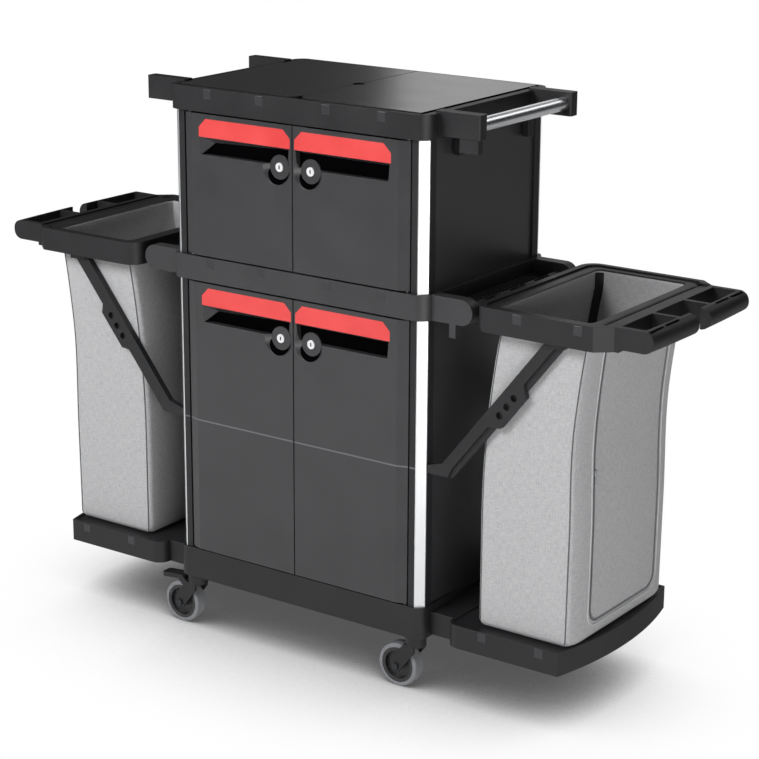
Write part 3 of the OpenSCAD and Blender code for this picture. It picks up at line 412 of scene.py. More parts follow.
# %% Row of blocks along a path
row_tree, source, result = new_tree("row_along_path", [
    ("Pitch", "NodeSocketFloat"), ("Block", "NodeSocketVector"), ("Outward", "NodeSocketVector"),
    ("Material", "NodeSocketMaterial")])
line = add(row_tree, "GeometryNodeMeshToCurve", None, {"Mesh": source.outputs["Geometry"]})
spots = add(row_tree, "GeometryNodeCurveToPoints", {"mode": "LENGTH"}, {
    "Curve": line.outputs[0], "Length": source.outputs["Pitch"]})
facing = add(row_tree, "FunctionNodeAlignRotationToVector", {"axis": "Z"}, {
    "Vector": source.outputs["Outward"]})
turned = add(row_tree, "FunctionNodeAlignRotationToVector", {"axis": "X", "pivot_axis": "Z"}, {
    "Rotation": facing.outputs[0], "Vector": spots.outputs["Tangent"]})
block = add(row_tree, "GeometryNodeMeshCube", None, {"Size": source.outputs["Block"]})
placed = add(row_tree, "GeometryNodeInstanceOnPoints", None, {
    "Points": spots.outputs["Points"], "Instance": block.outputs["Mesh"], "Rotation": turned.outputs[0]})
finish_tree(row_tree, source, result, placed.outputs[0])
print(row_tree.name, "of", len(row_tree.nodes), "nodes")

# %% Chamfered plug on points
PLUG_RAISE, PLUG_TAPER = 0.5 * MM, 0.86
plug_tree, source, result = new_tree("plug_on_points", [
    ("Side", "NodeSocketFloat"), ("Depth", "NodeSocketFloat"), ("Material", "NodeSocketMaterial")])
sides = add(plug_tree, "ShaderNodeCombineXYZ", None, {
    0: source.outputs["Side"], 1: source.outputs["Depth"], 2: source.outputs["Side"]})
block = add(plug_tree, "GeometryNodeMeshCube", None, {"Size": sides.outputs[0]})
normal = add(plug_tree, "GeometryNodeInputNormal")
is_front = add(
    plug_tree, "FunctionNodeCompare", {"data_type": "VECTOR", "operation": "EQUAL", "mode": "ELEMENT"},
    {"A": normal.outputs[0], "B": (0, -1, 0)})
raised = add(plug_tree, "GeometryNodeExtrudeMesh", None, {
    "Mesh": block.outputs["Mesh"], "Selection": is_front.outputs[0], "Offset Scale": PLUG_RAISE})
chamfer = add(plug_tree, "GeometryNodeScaleElements", None, {
    "Geometry": raised.outputs["Mesh"], "Selection": raised.outputs["Top"], "Scale": PLUG_TAPER})
placed = add(plug_tree, "GeometryNodeInstanceOnPoints", None, {
    "Points": source.outputs["Geometry"], "Instance": chamfer.outputs[0]})
finish_tree(plug_tree, source, result, placed.outputs[0])
print(plug_tree.name, "of", len(plug_tree.nodes), "nodes")

# %% [markdown]
# Square plugs close the mould's gate holes along the front of the frames, the trays and the
# right-hand rim. They are points on each front face, and the plug tree sets a chamfered square on
# every point.

# %% Square plugs
PLUG_SIDE, PLUG_PROUD = 21 * MM, 0.4 * MM
FASCIA_X, FASCIA_Z = (-234, -90, 90, 234), (894, 1277)
TRAY_X, TRAY_Z = (-643, -500, 500, 643), 174
RIM_X, RIM_Z = (571, 715), 894
fascia_y, tray_y, rim_y = [
    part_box(node)[0].y for node in ("mid_frame", "right_bag_tray", "right_bag_rim")]
plug_rows = {
    "fascia_plugs": ("chassis", [(x * MM, fascia_y, z * MM) for z in FASCIA_Z for x in FASCIA_X]),
    "tray_plugs": ("chassis", [(x * MM, tray_y, TRAY_Z * MM) for x in TRAY_X]),
    "right_rim_plugs": ("right_rim", [(x * MM, rim_y, RIM_Z * MM) for x in RIM_X]),
}
for name, (body, points) in plug_rows.items():
    sizes = {"Side": PLUG_SIDE, "Depth": 2 * PLUG_PROUD, "Material": mark_plastic}
    grow(name, plug_tree, points, [], sizes, body)
    print(name, len(points))

# %% [markdown]
# A thin grey stripe runs round the lower storey at the height of the brace feet. It is a flat band
# that follows each door's front and its bevel, and the front flange of each post. A band has the
# section's front line, raised by a fifth of a millimetre.

# %% Stripe
BLOCK_FACES = ((0, 1, 2, 3), (7, 6, 5, 4), (0, 4, 5, 1), (1, 5, 6, 2), (2, 6, 7, 3), (3, 7, 4, 0))


def band(name, line, z, height, proud, material, body):
    """A thin band along a line of points in plan, standing proud of the face behind it."""
    mesh = bmesh.new()
    for start, end in zip(line, line[1:]):
        away = Vector((end[1] - start[1], -(end[0] - start[0]), 0)).normalized()
        away = -away if away.y > 0 else away
        corners = [Vector((*p, z + dz)) + away * depth
                   for depth in (proud, -proud) for p, dz in (
                       (start, -height / 2), (end, -height / 2), (end, height / 2), (start, height / 2))]
        verts = [mesh.verts.new(c) for c in corners]
        for face in BLOCK_FACES:
            mesh.faces.new([verts[i] for i in face])
    bmesh.ops.recalc_face_normals(mesh, faces=mesh.faces)
    return carry(from_bmesh(name, mesh, material), body)


STRIPE_Z, STRIPE_HEIGHT, STRIPE_PROUD = 522 * MM, 3.5 * MM, 0.2 * MM
DOOR_BEVEL, BEVEL_DEPTH = 25 * MM, 8.5 * MM
POST_FLANGE = (307.5 * MM, 322 * MM)
for side, s in SIDES:
    low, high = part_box(f"lower_{side}_door")
    outer, inner = (high.x, low.x) if s > 0 else (low.x, high.x)
    line = [(inner, low.y), (outer - s * DOOR_BEVEL, low.y), (outer, low.y + BEVEL_DEPTH)]
    band(f"lower_{side}_door_stripe", line, STRIPE_Z, STRIPE_HEIGHT, STRIPE_PROUD, stripe_paint,
         f"lower_{side}_door")
    line = [(s * x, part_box("corner_posts")[0].y) for x in POST_FLANGE]
    band(f"{side}_post_stripe", line, STRIPE_Z, STRIPE_HEIGHT, STRIPE_PROUD, stripe_paint,
         "chassis")
print("stripe at", STRIPE_Z, "m")

# %% [markdown]
# Behind each grip the deep finger slot's shade is painted as a black sheet on its floor, cut away round
# the lock's boss. The slot's ceiling slants from its floor out to the door's face, and so does the outer
# end of a left slot. The shade low in the dish round each lock is painted as a black crescent, and the
# shade in the key slot as a black sheet. These painted shades are thin sheets, so a flat outline or a
# grid of points is enough, and Solidify gives them their thickness. A ceiling is a small closed block,
# which needs none.

# %% Sheets
ARC_STEPS = 24


def sheet_piece(name, points, faces, thickness, material, body):
    """A thin piece from points in mm, with its thickness to both sides of them."""
    data = bpy.data.meshes.new(name)
    data.from_pydata([tuple(Vector(p) * MM) for p in points], [], faces)
    data.materials.append(material)
    piece = link(name, data)
    if thickness:
        wall = piece.modifiers.new("thickness", "SOLIDIFY")
        wall.thickness = thickness * MM
        wall.offset = 0
    return carry(piece, body)


def grid_faces(rows, columns):
    """Faces of a grid whose points are listed row by row."""
    return [(i * columns + j, i * columns + j + 1, (i + 1) * columns + j + 1, (i + 1) * columns + j)
            for i in range(rows - 1) for j in range(columns - 1)]


def arc(x, z, radius, start, end):
    """Points of an arc in the plane of the doors, with angles in degrees from +X towards +Z."""
    turns = [math.radians(start + (end - start) * k / ARC_STEPS) for k in range(ARC_STEPS + 1)]
    return [(x + radius * math.cos(a), z + radius * math.sin(a)) for a in turns]


# %% Finger slots
LOCK_X, LOCK_DROP = 42.0, 45.0
DISH_R, DISH_DEPTH = 38.0, 11.5
BOSS_R = DISH_R - DISH_DEPTH
SLOT_INSET, SLOT_SLOPE, SLOT_H, SLOT_DEPTH = 3.0, 3.0, 39.0, 15.0
SHADE_SHEET_GAP, SHADE_SHEET_RISE, SHADE_SHEET_MM = 0.4, 0.6, 0.4
CEILING_GAP, CEILING_END_GAP = 0.3, 0.2
CEILING_NEAR, CEILING_FAR = 9.0, {-1: 33.0, 1: 1.0}
CEILING_DROP = {-1: (12.5, 6.0), 1: (8.0, 7.0)}
CEILING_FACES = [(0, 1, 2), (0, 2, 3), (0, 3, 4), (5, 7, 3, 2, 6),
                 (0, 4, 7, 5), (0, 5, 6, 1), (1, 6, 2), (4, 3, 7)]


def slot_sizes(name):
    """A slot's near and far ends from the cart's middle, its top edge and the door's face, in mm."""
    door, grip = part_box(name + "_door"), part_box(name + "_grip")
    near, far = sorted(abs(corner.x) / MM for corner in grip)
    return near + SLOT_INSET, far - SLOT_INSET, grip[0].z / MM, door[0].y / MM


def slot_floor_shade(name, s, near, far, top, face):
    """Painted shade: a black sheet on the floor of a slot, where the deep slot is dark."""
    foot, radius = top - SLOT_H, BOSS_R + SHADE_SHEET_RISE
    dip = math.degrees(math.asin((LOCK_DROP - SLOT_H + SHADE_SHEET_GAP) / radius))
    outline = [(far - SLOT_SLOPE - SHADE_SHEET_GAP, foot + SHADE_SHEET_GAP), (far - SHADE_SHEET_GAP, top - SHADE_SHEET_GAP),
               (near + SHADE_SHEET_GAP, top - SHADE_SHEET_GAP), (near + SLOT_SLOPE + SHADE_SHEET_GAP, foot + SHADE_SHEET_GAP)]
    outline += arc(LOCK_X, top - LOCK_DROP, radius, 180 - dip, dip)
    points = [(s * x, face + SLOT_DEPTH - SHADE_SHEET_RISE, z) for x, z in outline]
    sheet_piece(name + "_slot_floor_shade", points, [tuple(range(len(points)))], SHADE_SHEET_MM, painted_shade_black,
                name + "_door")


def slot_ceiling(name, s, near, far, top, face):
    """The slanted ceiling and outer end of a slot."""
    front, back = face + CEILING_GAP, face + SLOT_DEPTH - SHADE_SHEET_RISE - SHADE_SHEET_GAP
    high, low = top - CEILING_GAP, top - SLOT_H + CEILING_GAP
    first, last = near + CEILING_END_GAP, far - CEILING_END_GAP
    foot_last = last - SLOT_SLOPE
    corners = [(last, front, high), (foot_last, front, low),
               (far - CEILING_FAR[s], back, top - CEILING_DROP[s][0]),
               (near + CEILING_NEAR, back, top - CEILING_DROP[s][1]), (first, front, high),
               (last, back, high), (foot_last, back, low), (first, back, high)]
    sheet_piece(name + "_slot_facet", [(s * x, y, z) for x, y, z in corners],
                [order[::-s] for order in CEILING_FACES], 0, panel_plastic,
                name + "_door")


# %% Dishes and key slots
CRESCENT = (195, 350)
CRESCENT_GAP, CRESCENT_RIM, CRESCENT_MM = 0.4, 0.3, 0.2
CRESCENT_REACH, CRESCENT_CURVE = DISH_DEPTH - 1.2, 0.7
KEY_HALF_X, KEY_HALF_Z = 1.4, 4.0
KEY_PROUD, KEY_MM = 0.1, 0.1


def dish_crescent_shade(name, s, top, face):
    """Painted shade: a black crescent low in a lock's dish, where its undercut lies in shade."""
    deepest = DISH_DEPTH - CRESCENT_GAP - CRESCENT_RIM
    points = []
    for reach in (CRESCENT_REACH, 0.0):
        for k, (x, z) in enumerate(arc(0, 0, 1.0, *CRESCENT)):
            depth = deepest - reach * math.sin(math.pi * k / ARC_STEPS) ** CRESCENT_CURVE
            radius = DISH_R - depth - CRESCENT_GAP
            points.append((s * (LOCK_X + radius * x), face + depth, top - LOCK_DROP + radius * z))
    sheet_piece(name + "_dish_crescent_shade", points, grid_faces(2, ARC_STEPS + 1), CRESCENT_MM, painted_shade_black,
                name + "_door")


def key_slot_shade(name, s, top):
    """Painted shade: a black sheet over the key slot in a lock's face, where the keyway is dark."""
    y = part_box(name + "_lock")[0].y / MM - KEY_PROUD
    points = [(s * (LOCK_X + i * KEY_HALF_X), y, top - LOCK_DROP + j * KEY_HALF_Z)
              for i, j in ((-1, -1), (1, -1), (1, 1), (-1, 1))]
    sheet_piece(name + "_key_slot", points, [(0, 1, 2, 3)], KEY_MM, painted_shade_black,
                name + "_lock")


for name in ("upper_left", "upper_right", "lower_left", "lower_right"):
    s = 1 if "right" in name else -1
    near, far, top, face = slot_sizes(name)
    slot_floor_shade(name, s, near, far, top, face)
    slot_ceiling(name, s, near, far, top, face)
    dish_crescent_shade(name, s, top, face)
    key_slot_shade(name, s, top)
    print(name, "slot from", round(near), "to", round(far), "mm under", round(top), "mm")

# %% [markdown]
# Each bag is one sewn shell that hangs from the rim and stands on its tray. It could be a box with
# bumps, but a loft follows the cloth better: a ring of points at each height, where the middle, the
# size and the corners follow the height. The bag leans out towards the rim, and its outer face
# stands a little fuller over the tray.

# %% Bag sizes
BAG_FOOT_Z, BAG_TOP_Z = 183.6, 903.0
LEAN_FROM_Z, LEAN_TO_Z, SHOULDER_Z = 436.9, 870.0, 867.0
FOOT_X, HEAD_X = 579.5, 618.0
FOOT_HALF, HEAD_HALF = 113.0, 109.5
FULLNESS, FULL_TO_Z, FULL_END_Z = 10.5, 430.0, 690.0
BAG_Y = 202.0
HEM_HALF, HEM_Y = 138.6, 224.6
FOOT_ROUND = 16.0


def smooth(t):
    """A soft step from 0 to 1."""
    t = min(max(t, 0.0), 1.0)
    return t * t * (3 - 2 * t)


def bag_sizes(z, flare=0.0):
    """Middle and half sizes of the bag at a height, in mm. The hem flares out to the rim."""
    lean = max(0.0, (min(z, SHOULDER_Z) - LEAN_FROM_Z) / (LEAN_TO_Z - LEAN_FROM_Z)) ** 2
    tuck = max(0.0, 1 - (z - BAG_FOOT_Z) / FOOT_ROUND)
    pull = FOOT_ROUND * (1 - math.sqrt(max(0.0, 1 - tuck * tuck)))
    full = FULLNESS / 2 * (1 - smooth((z - FULL_TO_Z) / (FULL_END_Z - FULL_TO_Z)))
    half_x = (FOOT_HALF + (HEAD_HALF - FOOT_HALF) * lean) * (1 - flare) + HEM_HALF * flare + full - pull
    half_y = BAG_Y * (1 - flare) + HEM_Y * flare - pull
    return FOOT_X + (HEAD_X - FOOT_X) * lean + full, half_x, half_y


print("bag from", BAG_FOOT_Z, "to", BAG_TOP_Z, "mm")

# %% [markdown]
# Cloth is never flat. The outer face bellies, the inner one bows in a little, and near the foot the
# cloth is slack and wavers. These moves fade out at the foot and at the rim, where it is held.

# %% Slack
BELLY_OUT, BELLY_IN = 7.0, 4.0
WAVE_FOOT, WAVE_FADE, WAVE_WALL = 1.6, 130.0, 0.5
RIPPLE_X, RIPPLE_Y = (0.041, 0.013), (0.029, 0.019)


def belly(z):
    """How far slack lets the cloth bow at a height: none at the foot and the rim."""
    return math.sin(math.pi * min(max((z - BAG_FOOT_Z) / (SHOULDER_Z - BAG_FOOT_Z), 0), 1)) ** 0.8


def cloth_at(x, y, z, flare=0.0):
    """A point of the flat-sided bag, moved to where the slack cloth bows and wavers."""
    middle, half_x, half_y = bag_sizes(z, flare)
    slack, out, across = belly(z), (x - middle) / half_x, 1 - (y / half_y) ** 2
    wave = (WAVE_FOOT * math.exp(-(z - BAG_FOOT_Z) / WAVE_FADE) + WAVE_WALL) * slack
    ripple = wave * math.sin(x * RIPPLE_X[0] + z * RIPPLE_X[1]) * math.sin(y * RIPPLE_Y[0] + z * RIPPLE_Y[1])
    bow = BELLY_OUT * smooth(out * 4 - 3) - BELLY_IN * smooth(-out * 4 - 3)
    dx = slack * across * bow + ripple * 0.6 * across * math.copysign(1, out)
    dy = math.copysign(ripple * (1 - out ** 2), y) * smooth(abs(y) / half_y * 4 - 3)
    return x + dx, y + dy


def outer_x(y, z):
    """The outer face of the right-hand bag."""
    middle, half_x = bag_sizes(z)[:2]
    return cloth_at(middle + half_x, y, z)[0]


print("outer face at", round(outer_x(0, BAG_FOOT_Z + FOOT_ROUND)), "mm over the tray")

# %% [markdown]
# At each outer corner the cloth has a crease at the seam and bends from there on to the outer face,
# first tightly and then slowly. The inner corners are plain arcs. Rings lie close together where the
# cloth bends, at the foot and at the hem.

# %% Bag rings
CORNER_X, CORNER_Y, BACK_CORNER, HEM_CORNER = (16.0, 8.0), (46.0, 28.0), 14.0, 27.0
CREASE, CHANGE = math.radians(20), math.radians(70)
FACE_STEPS, CORNER_STEPS, TIGHT_STEPS = 22, 7, 4
SIDE_STEPS = FACE_STEPS + CORNER_STEPS
SEAM_CORNERS = {"front_outer": FACE_STEPS - 1, "back_outer": 2 * SIDE_STEPS - 1,
                "back_inner": 2 * SIDE_STEPS + FACE_STEPS - 1, "front_inner": 4 * SIDE_STEPS - 3}


def outer_bend(rx, ry):
    """Steps of an outer corner: a crease at the seam, a tight arc, then a slow one to the outer face."""
    slow = (ry - rx) / (math.cos(CHANGE) + math.sin(CHANGE) - 1)
    tight = (rx - slow * (1 - math.sin(CHANGE))) / (math.sin(CHANGE) - math.sin(CREASE))
    points = [(0.0, 0.0)]
    for start, end, radius, steps in (
            (CREASE, CHANGE, tight, TIGHT_STEPS), (CHANGE, math.pi / 2, slow, CORNER_STEPS - TIGHT_STEPS)):
        x, y = points[-1]
        for k in range(1, steps + 1):
            a = start + (end - start) * k / steps
            points.append((x + radius * (math.sin(a) - math.sin(start)),
                           y + radius * (math.cos(start) - math.cos(a))))
    return points


def bag_ring(z, flare=0.0):
    """Points round the right-hand bag at a height, counter-clockwise from its front inner corner."""
    middle, half_x, half_y = bag_sizes(z, flare)
    x0, x1 = middle - half_x, middle + half_x
    rise = min(1.0, (z - BAG_FOOT_Z) / (SHOULDER_Z - BAG_FOOT_Z))
    bends = [foot + (head - foot) * rise for foot, head in (CORNER_X, CORNER_Y)] + [BACK_CORNER]
    rx, ry, rb = [size * (1 - flare) + HEM_CORNER * flare for size in bends]
    front = [(x1 - rx + dx, -half_y + dy) for dx, dy in outer_bend(rx, ry)]
    turns = [math.pi / 2 * k / CORNER_STEPS for k in range(CORNER_STEPS + 1)]
    rear = [(x0 + rb * (1 - math.sin(a)), half_y - rb * (1 - math.cos(a))) for a in turns]
    ring = []
    previous = (x0 + rb, -half_y)
    for bend in (front, [(x, -y) for x, y in front[::-1]], rear, [(x, -y) for x, y in rear[::-1]]):
        for k in range(1, FACE_STEPS):
            t = k / FACE_STEPS
            x, y = (previous[i] + (bend[0][i] - previous[i]) * t for i in (0, 1))
            ring.append((x, y))
        ring += bend
        previous = bend[-1]
    return [cloth_at(x, y, z, flare) for x, y in ring]


FOOT_RINGS = (0, 0.06, 0.16, 0.3, 0.5, 0.75, 1.0)
WALL_RINGS, NECK_RINGS, HEM_DROP = 56, 4, 4
HEM = [(2.0, 0.02), (0.8, 0.07), (0.2, 0.15), (0.0, 0.3), (0.0, 0.65), (0.0, 1.0)]
wall_z, hem_z = BAG_FOOT_Z + FOOT_ROUND, BAG_TOP_Z - HEM_DROP
heights = [BAG_FOOT_Z + FOOT_ROUND * t for t in FOOT_RINGS]
heights += [wall_z + (SHOULDER_Z - wall_z) * (i + 1) / WALL_RINGS for i in range(WALL_RINGS)]
heights += [SHOULDER_Z + (hem_z - SHOULDER_Z) * (i + 1) / NECK_RINGS for i in range(NECK_RINGS)]
rings = [bag_ring(z) for z in heights]
heights += [BAG_TOP_Z - down for down, flare in HEM]
rings += [bag_ring(BAG_TOP_Z - down, flare) for down, flare in HEM]
print("bag of", len(rings), "rings with", len(rings[0]), "points each")

# %% [markdown]
# The rings become one mesh with a bottom, and its UV map is in metres: round the bag one way and up
# it the other. The cloth gets its thickness from Solidify, inwards, so that the outside stays put.
# A bag is sewn to its rim, so it rides on it. When the rim folds up, real cloth crumples.

# %% Bag shells
CLOTH_MM = 1.6
GIRTH_RING = 20
SHADE_STRIP_ROWS, SHADE_STRIP_STEP, SHADE_STRIP_IN, SHADE_STRIP_MM = 25, 25, 2.2, 0.4


def hang(piece):
    """Gives a sewn piece a mesh of its own."""
    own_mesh(piece)


def bag_shell(side, s):
    """The sewn cloth of one bag, with the plastic flange of its hem."""
    mesh = bmesh.new()
    layer = mesh.loops.layers.uv.new("cloth")
    count = len(rings[0])
    verts = [[mesh.verts.new((s * x * MM, y * MM, z * MM)) for x, y in ring]
             for ring, z in zip(rings, heights)]
    around = [0.0]
    for j in range(count):
        a, b = rings[GIRTH_RING][j], rings[GIRTH_RING][(j + 1) % count]
        around.append(around[-1] + math.dist(a, b) * MM)
    for i in range(len(rings) - 1):
        for j in range(count):
            k = (j + 1) % count
            face = mesh.faces.new((verts[i][j], verts[i][k], verts[i + 1][k], verts[i + 1][j]))
            face.smooth = True
            face.material_index = 1 if i >= len(rings) - len(HEM) else 0
            for loop, (u, row) in zip(face.loops, ((j, i), (j + 1, i), (j + 1, i + 1), (j, i + 1))):
                loop[layer].uv = (around[u], heights[row] * MM)
    middle = mesh.verts.new((s * FOOT_X * MM, 0, BAG_FOOT_Z * MM))
    for j in range(count):
        face = mesh.faces.new((verts[0][(j + 1) % count], verts[0][j], middle))
        for loop in face.loops:
            loop[layer].uv = loop.vert.co.xy
    for i in range(len(rings) - 1):
        for j in (SEAM_CORNERS["front_outer"], SEAM_CORNERS["back_outer"]):
            mesh.edges.get((verts[i][j], verts[i + 1][j])).smooth = False
    if s < 0:
        bmesh.ops.reverse_faces(mesh, faces=mesh.faces)
    piece = from_bmesh(f"{side}_bag_cloth", mesh, bag_cloth, frame_plastic)
    wall = piece.modifiers.new("cloth thickness", "SOLIDIFY")
    wall.thickness = CLOTH_MM * MM
    wall.offset = -1
    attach(piece, f"{side}_rim")
    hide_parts(f"{side}_bag")
    return piece


def corner_shade_strip(side, s):
    """A black strip of painted shade inside the rear inner corner, from the hem down."""
    first = SEAM_CORNERS["back_inner"]
    points = []
    for i in range(SHADE_STRIP_ROWS):
        z = BAG_TOP_Z - HEM_DROP - i * SHADE_STRIP_STEP
        for x, y in bag_ring(z)[first:first + CORNER_STEPS + 1]:
            points.append((s * (x + SHADE_STRIP_IN), y - SHADE_STRIP_IN, z))
    return sheet_piece(f"{side}_bag_corner_binding", points, grid_faces(SHADE_STRIP_ROWS, CORNER_STEPS + 1),
                       SHADE_STRIP_MM, corner_shade_paint, f"{side}_rim")


for side, s in SIDES:
    shell = bag_shell(side, s)
    hang(shell)
    hang(corner_shade_strip(side, s))
    print(shell.name, len(shell.data.polygons), "faces")

# %% [markdown]
# Sewing: a dark seam runs up each corner, and a zip closes a U-shaped panel in the outer face, with
# a light piping outside it and a slider on the front leg. Their paths are points on the same loft,
# so they lie on the cloth.

# %% Seam and zip paths
SEAM_STEPS, SEAM_R, SEAM_LIFT = 60, 1.4, 0.15
SEAM_FOOT_Z, SEAM_TOP_Z = BAG_FOOT_Z + 3.0, SHOULDER_Z - 2.0
ZIP_FRONT, ZIP_BACK, ZIP_FOOT, ZIP_TOP = -134.0, 148.0, 222.0, 852
ZIP_BEND, ZIP_LEG_STEP, ZIP_FOOT_STEPS = 34.0, 12, 18


def seam_path(corner, s):
    """A corner seam up the cloth, at the given point of each ring."""
    path = []
    for i in range(SEAM_STEPS + 1):
        z = SEAM_FOOT_Z + (SEAM_TOP_Z - SEAM_FOOT_Z) * i / SEAM_STEPS
        x, y = bag_ring(z)[corner]
        path.append(Vector((s * x, y + math.copysign(SEAM_LIFT, y), z)) * MM)
    return path


def zip_path(s, inset, lift):
    """The U of the zip on the outer face, drawn in by inset, from the front leg round to the back one."""
    front, back, foot = ZIP_FRONT + inset, ZIP_BACK - inset, ZIP_FOOT + inset
    legs = [(front, z) for z in range(ZIP_TOP, int(foot + ZIP_BEND), -ZIP_LEG_STEP)]
    turn = [(front + ZIP_BEND * (1 - math.cos(a)), foot + ZIP_BEND * (1 - math.sin(a)))
            for a in map(math.radians, range(0, 91, 10))]
    span = back - front - 2 * ZIP_BEND
    bottom = [(front + ZIP_BEND + span * k / ZIP_FOOT_STEPS, foot) for k in range(1, ZIP_FOOT_STEPS)]
    flat = legs + turn + bottom + [(front + back - y, z) for y, z in reversed(legs + turn)]
    return [Vector((s * (outer_x(y, z) + lift), y, z)) * MM for y, z in flat]


# %% Seams and zips
ZIP_LINES = (("zip_tape", 0.0, 0.2, 1.5, seam_thread), ("piping", -8.0, 0.8, 1.8, piping_cord))
TEETH_INSET, TEETH_LIFT, TEETH_PITCH = 2.8, 0.9, 3.0
TOOTH = (1.8 * MM, 3.4 * MM, 1.2 * MM)
for side, s in SIDES:
    for corner, index in SEAM_CORNERS.items():
        path = seam_path(index, s)
        seam = grow(f"{side}_bag_{corner}_seam", tube_tree, path, chain(len(path)),
                    {"Radius": SEAM_R * MM, "Material": seam_thread}, f"{side}_rim")
        hang(seam)
    for label, inset, lift, radius, finish in ZIP_LINES:
        path = zip_path(s, inset, lift)
        line = grow(f"{side}_bag_{label}", tube_tree, path, chain(len(path)),
                    {"Radius": radius * MM, "Material": finish}, f"{side}_rim")
        hang(line)
    path = zip_path(s, TEETH_INSET, TEETH_LIFT)
    sizes = {"Pitch": TEETH_PITCH * MM, "Block": TOOTH, "Outward": (s, 0, 0), "Material": zip_nylon}
    teeth = grow(f"{side}_bag_zip_teeth", row_tree, path, chain(len(path)), sizes,
                 f"{side}_rim")
    hang(teeth)
    print(side, "bag sewn,", len(teeth.data.polygons) // 6, "zip teeth")

# %% [markdown]
# The slider is a small die-cast box that rides over the teeth, with a flat pull tab hanging from
# it. Both are beveled blocks.

# %% Zip sliders
SLIDER_Y, SLIDER_Z, SLIDER_ROUND = -131.2, 562.0, 0.6
SLIDER_BOX = ((0.6, -4.5, -6.0), (4.6, 4.5, 6.0))
SLIDER_TAB = ((3.6, -3.0, -30.0), (5.0, 3.0, -2.0))


def rounded_blocks(name, blocks, round_mm, material, body):
    """One mesh of boxes, each given by its lowest and highest corners in mm, with rounded edges."""
    mesh = bmesh.new()
    for low, high in blocks:
        made = bmesh.ops.create_cube(mesh, size=1.0)["verts"]
        for v in made:
            v.co = Vector([(low[i] + high[i]) / 2 + v.co[i] * (high[i] - low[i]) for i in range(3)]) * MM
    bmesh.ops.bevel(mesh, geom=list(mesh.edges), offset=round_mm * MM, segments=2, affect="EDGES",
                    profile=0.6)
    return carry(from_bmesh(name, mesh, material), body)


for side, s in SIDES:
    spot = (outer_x(SLIDER_Y, SLIDER_Z), SLIDER_Y, SLIDER_Z)
    blocks = [[[spot[i] + corner[i] for i in range(3)] for corner in block]
              for block in (SLIDER_BOX, SLIDER_TAB)]
    if s < 0:
        blocks = [((-high[0], *low[1:]), (-low[0], *high[1:])) for low, high in blocks]
    slider = rounded_blocks(f"{side}_bag_zip_slider", blocks, SLIDER_ROUND, zinc_metal,
                            f"{side}_rim")
    hang(slider)
print("sliders at", SLIDER_Z * MM, "m")

# %% [markdown]
# The studio is a white floor, a white surround and soft lamps. A lamp's own shadow would be long and
# one-sided, and under an even white sky it is short and all round. So the floor's shadow is painted: an
# Ambient Occlusion node measures how much of that sky the cart hides from each point of the floor, and
# the camera sees the floor as a white glow, darkened by that painted shadow. All other rays meet plain white
# paint.

# %% Floor
FLOOR_HALF = 14.0
SHADOW_REACH = 0.8
SKY_HIDDEN, SKY_OPEN = 0.16, 0.86
DEEPEST_SHADOW = 0.09
mesh = bpy.data.meshes.new("floor")
mesh.from_pydata([(x * FLOOR_HALF, y * FLOOR_HALF, 0) for x, y in ((-1, -1), (1, -1), (1, 1), (-1, 1))],
                 [], [(0, 1, 2, 3)])
floor = link("floor", mesh)
floor_with_painted_shadow, tree, shader = new_material("floor_paint_white")
shader.inputs["Base Color"].default_value = srgb("#ffffff")
shader.inputs["Roughness"].default_value = 0.9
shader.inputs["Specular IOR Level"].default_value = 0.0
# The camera sees a glow, not a lit floor: the cart's shadow on it is painted, darker where ambient occlusion
# finds the sky hidden.
open_sky = add(tree, "ShaderNodeAmbientOcclusion", {"samples": 16}, {"Distance": SHADOW_REACH})
shade = add(tree, "ShaderNodeMapRange", {"interpolation_type": "SMOOTHSTEP"}, {
    "Value": open_sky.outputs["AO"], "From Min": SKY_HIDDEN, "From Max": SKY_OPEN,
    "To Min": DEEPEST_SHADOW, "To Max": 1.0})
floor_glow_painted_shadow = add(tree, "ShaderNodeEmission", None, {"Color": (1, 1, 1, 1), "Strength": shade.outputs[0]})
faced = add(tree, "ShaderNodeLightPath").outputs["Is Camera Ray"]
blend = add(tree, "ShaderNodeMixShader", None, {0: faced, 1: shader.outputs[0], 2: floor_glow_painted_shadow.outputs[0]})
tree.links.new(blend.outputs[0], tree.nodes["Material Output"].inputs["Surface"])
mesh.materials.append(floor_with_painted_shadow)
floor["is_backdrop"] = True
print("floor of", 2 * FLOOR_HALF, "m")

# %% [markdown]
# The camera sees the surround as white. For the light that falls on the cart it is brightest in
# front, and dim behind and at the right, so that the sides and the lids stay dark.

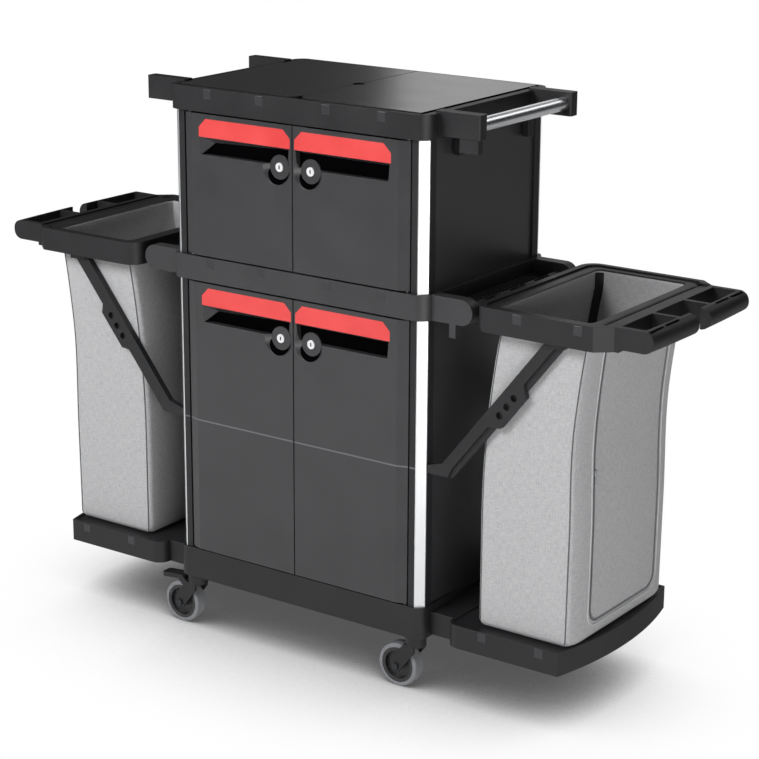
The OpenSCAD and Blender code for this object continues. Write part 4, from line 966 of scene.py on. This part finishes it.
# %% Surround
world = bpy.data.worlds.new("studio")
bpy.context.scene.world = world
world.use_nodes = True
tree = world.node_tree
tree.nodes.clear()
ray = add(tree, "ShaderNodeLightPath")
seen = add(tree, "ShaderNodeMath", {"operation": "MAXIMUM"}, {
    0: ray.outputs["Is Camera Ray"], 1: ray.outputs["Is Transmission Ray"]})
white = add(tree, "ShaderNodeBackground", None, {"Color": (1, 1, 1, 1), "Strength": 1.0})
place = add(tree, "ShaderNodeTexCoord").outputs["Generated"]
heading = add(tree, "ShaderNodeSeparateXYZ", None, {0: place})
front_to_back = add(tree, "ShaderNodeMapRange", {"interpolation_type": "SMOOTHSTEP"}, {
    "Value": heading.outputs["Y"], "From Min": -0.6, "From Max": 0.5, "To Min": 0.32, "To Max": 0.07})
left_to_right = add(tree, "ShaderNodeMapRange", {"interpolation_type": "SMOOTHSTEP"}, {
    "Value": heading.outputs["X"], "From Min": -0.1, "From Max": 0.7, "To Min": 1.0, "To Max": 0.4})
strength = add(tree, "ShaderNodeMath", {"operation": "MULTIPLY"}, {
    0: front_to_back.outputs[0], 1: left_to_right.outputs[0]})
soft = add(tree, "ShaderNodeBackground", None, {"Color": (1, 1, 1, 1), "Strength": strength.outputs[0]})
both = add(tree, "ShaderNodeMixShader", None, {0: seen.outputs[0], 1: soft.outputs[0], 2: white.outputs[0]})
add(tree, "ShaderNodeOutputWorld", None, {"Surface": both.outputs[0]})
print("surround of", len(tree.nodes), "nodes")

# %% [markdown]
# Five soft lamps: the key is in front and above, a fill low at the right shows in the bright strips,
# a small card at the right lifts the right-hand bag, and two cards behind show in the lids and along
# the push bar.

# %% Lamps
def soft_lamp(name, place, target, width, height, power):
    """A rectangular lamp that faces its target, with its sizes in metres and its power in watts."""
    lamp = bpy.data.lights.new(name, "AREA")
    lamp.shape = "RECTANGLE"
    lamp.size, lamp.size_y, lamp.energy = width, height, power
    holder = link(name, lamp)
    holder.location = place
    holder.rotation_mode = "QUATERNION"
    holder.rotation_quaternion = (Vector(target) - Vector(place)).to_track_quat("-Z", "Y")
    print(name, "at", place, power, "W")


soft_lamp("key_lamp", (-1.3, -3.7, 3.6), (0, 0, 0.6), 2.4, 1.8, 215)
soft_lamp("fill_lamp", (3.2, -2.4, 0.7), (0.3, 0, 0.6), 2.2, 1.3, 44)
soft_lamp("side_card", (3.6, -0.9, 0.85), (0.7, 0, 0.65), 1.2, 0.5, 14)
soft_lamp("back_card", (-1.5, 4.2, 2.6), (-0.2, 0, 1.3), 2.4, 2.0, 14)
soft_lamp("rim_card", (1.6, 3.2, 3.4), (0.4, 0, 1.2), 1.8, 1.0, 11)

# %% Sizes
low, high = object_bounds()
print("dressed", [round(v, 4) for v in high - low], "m")
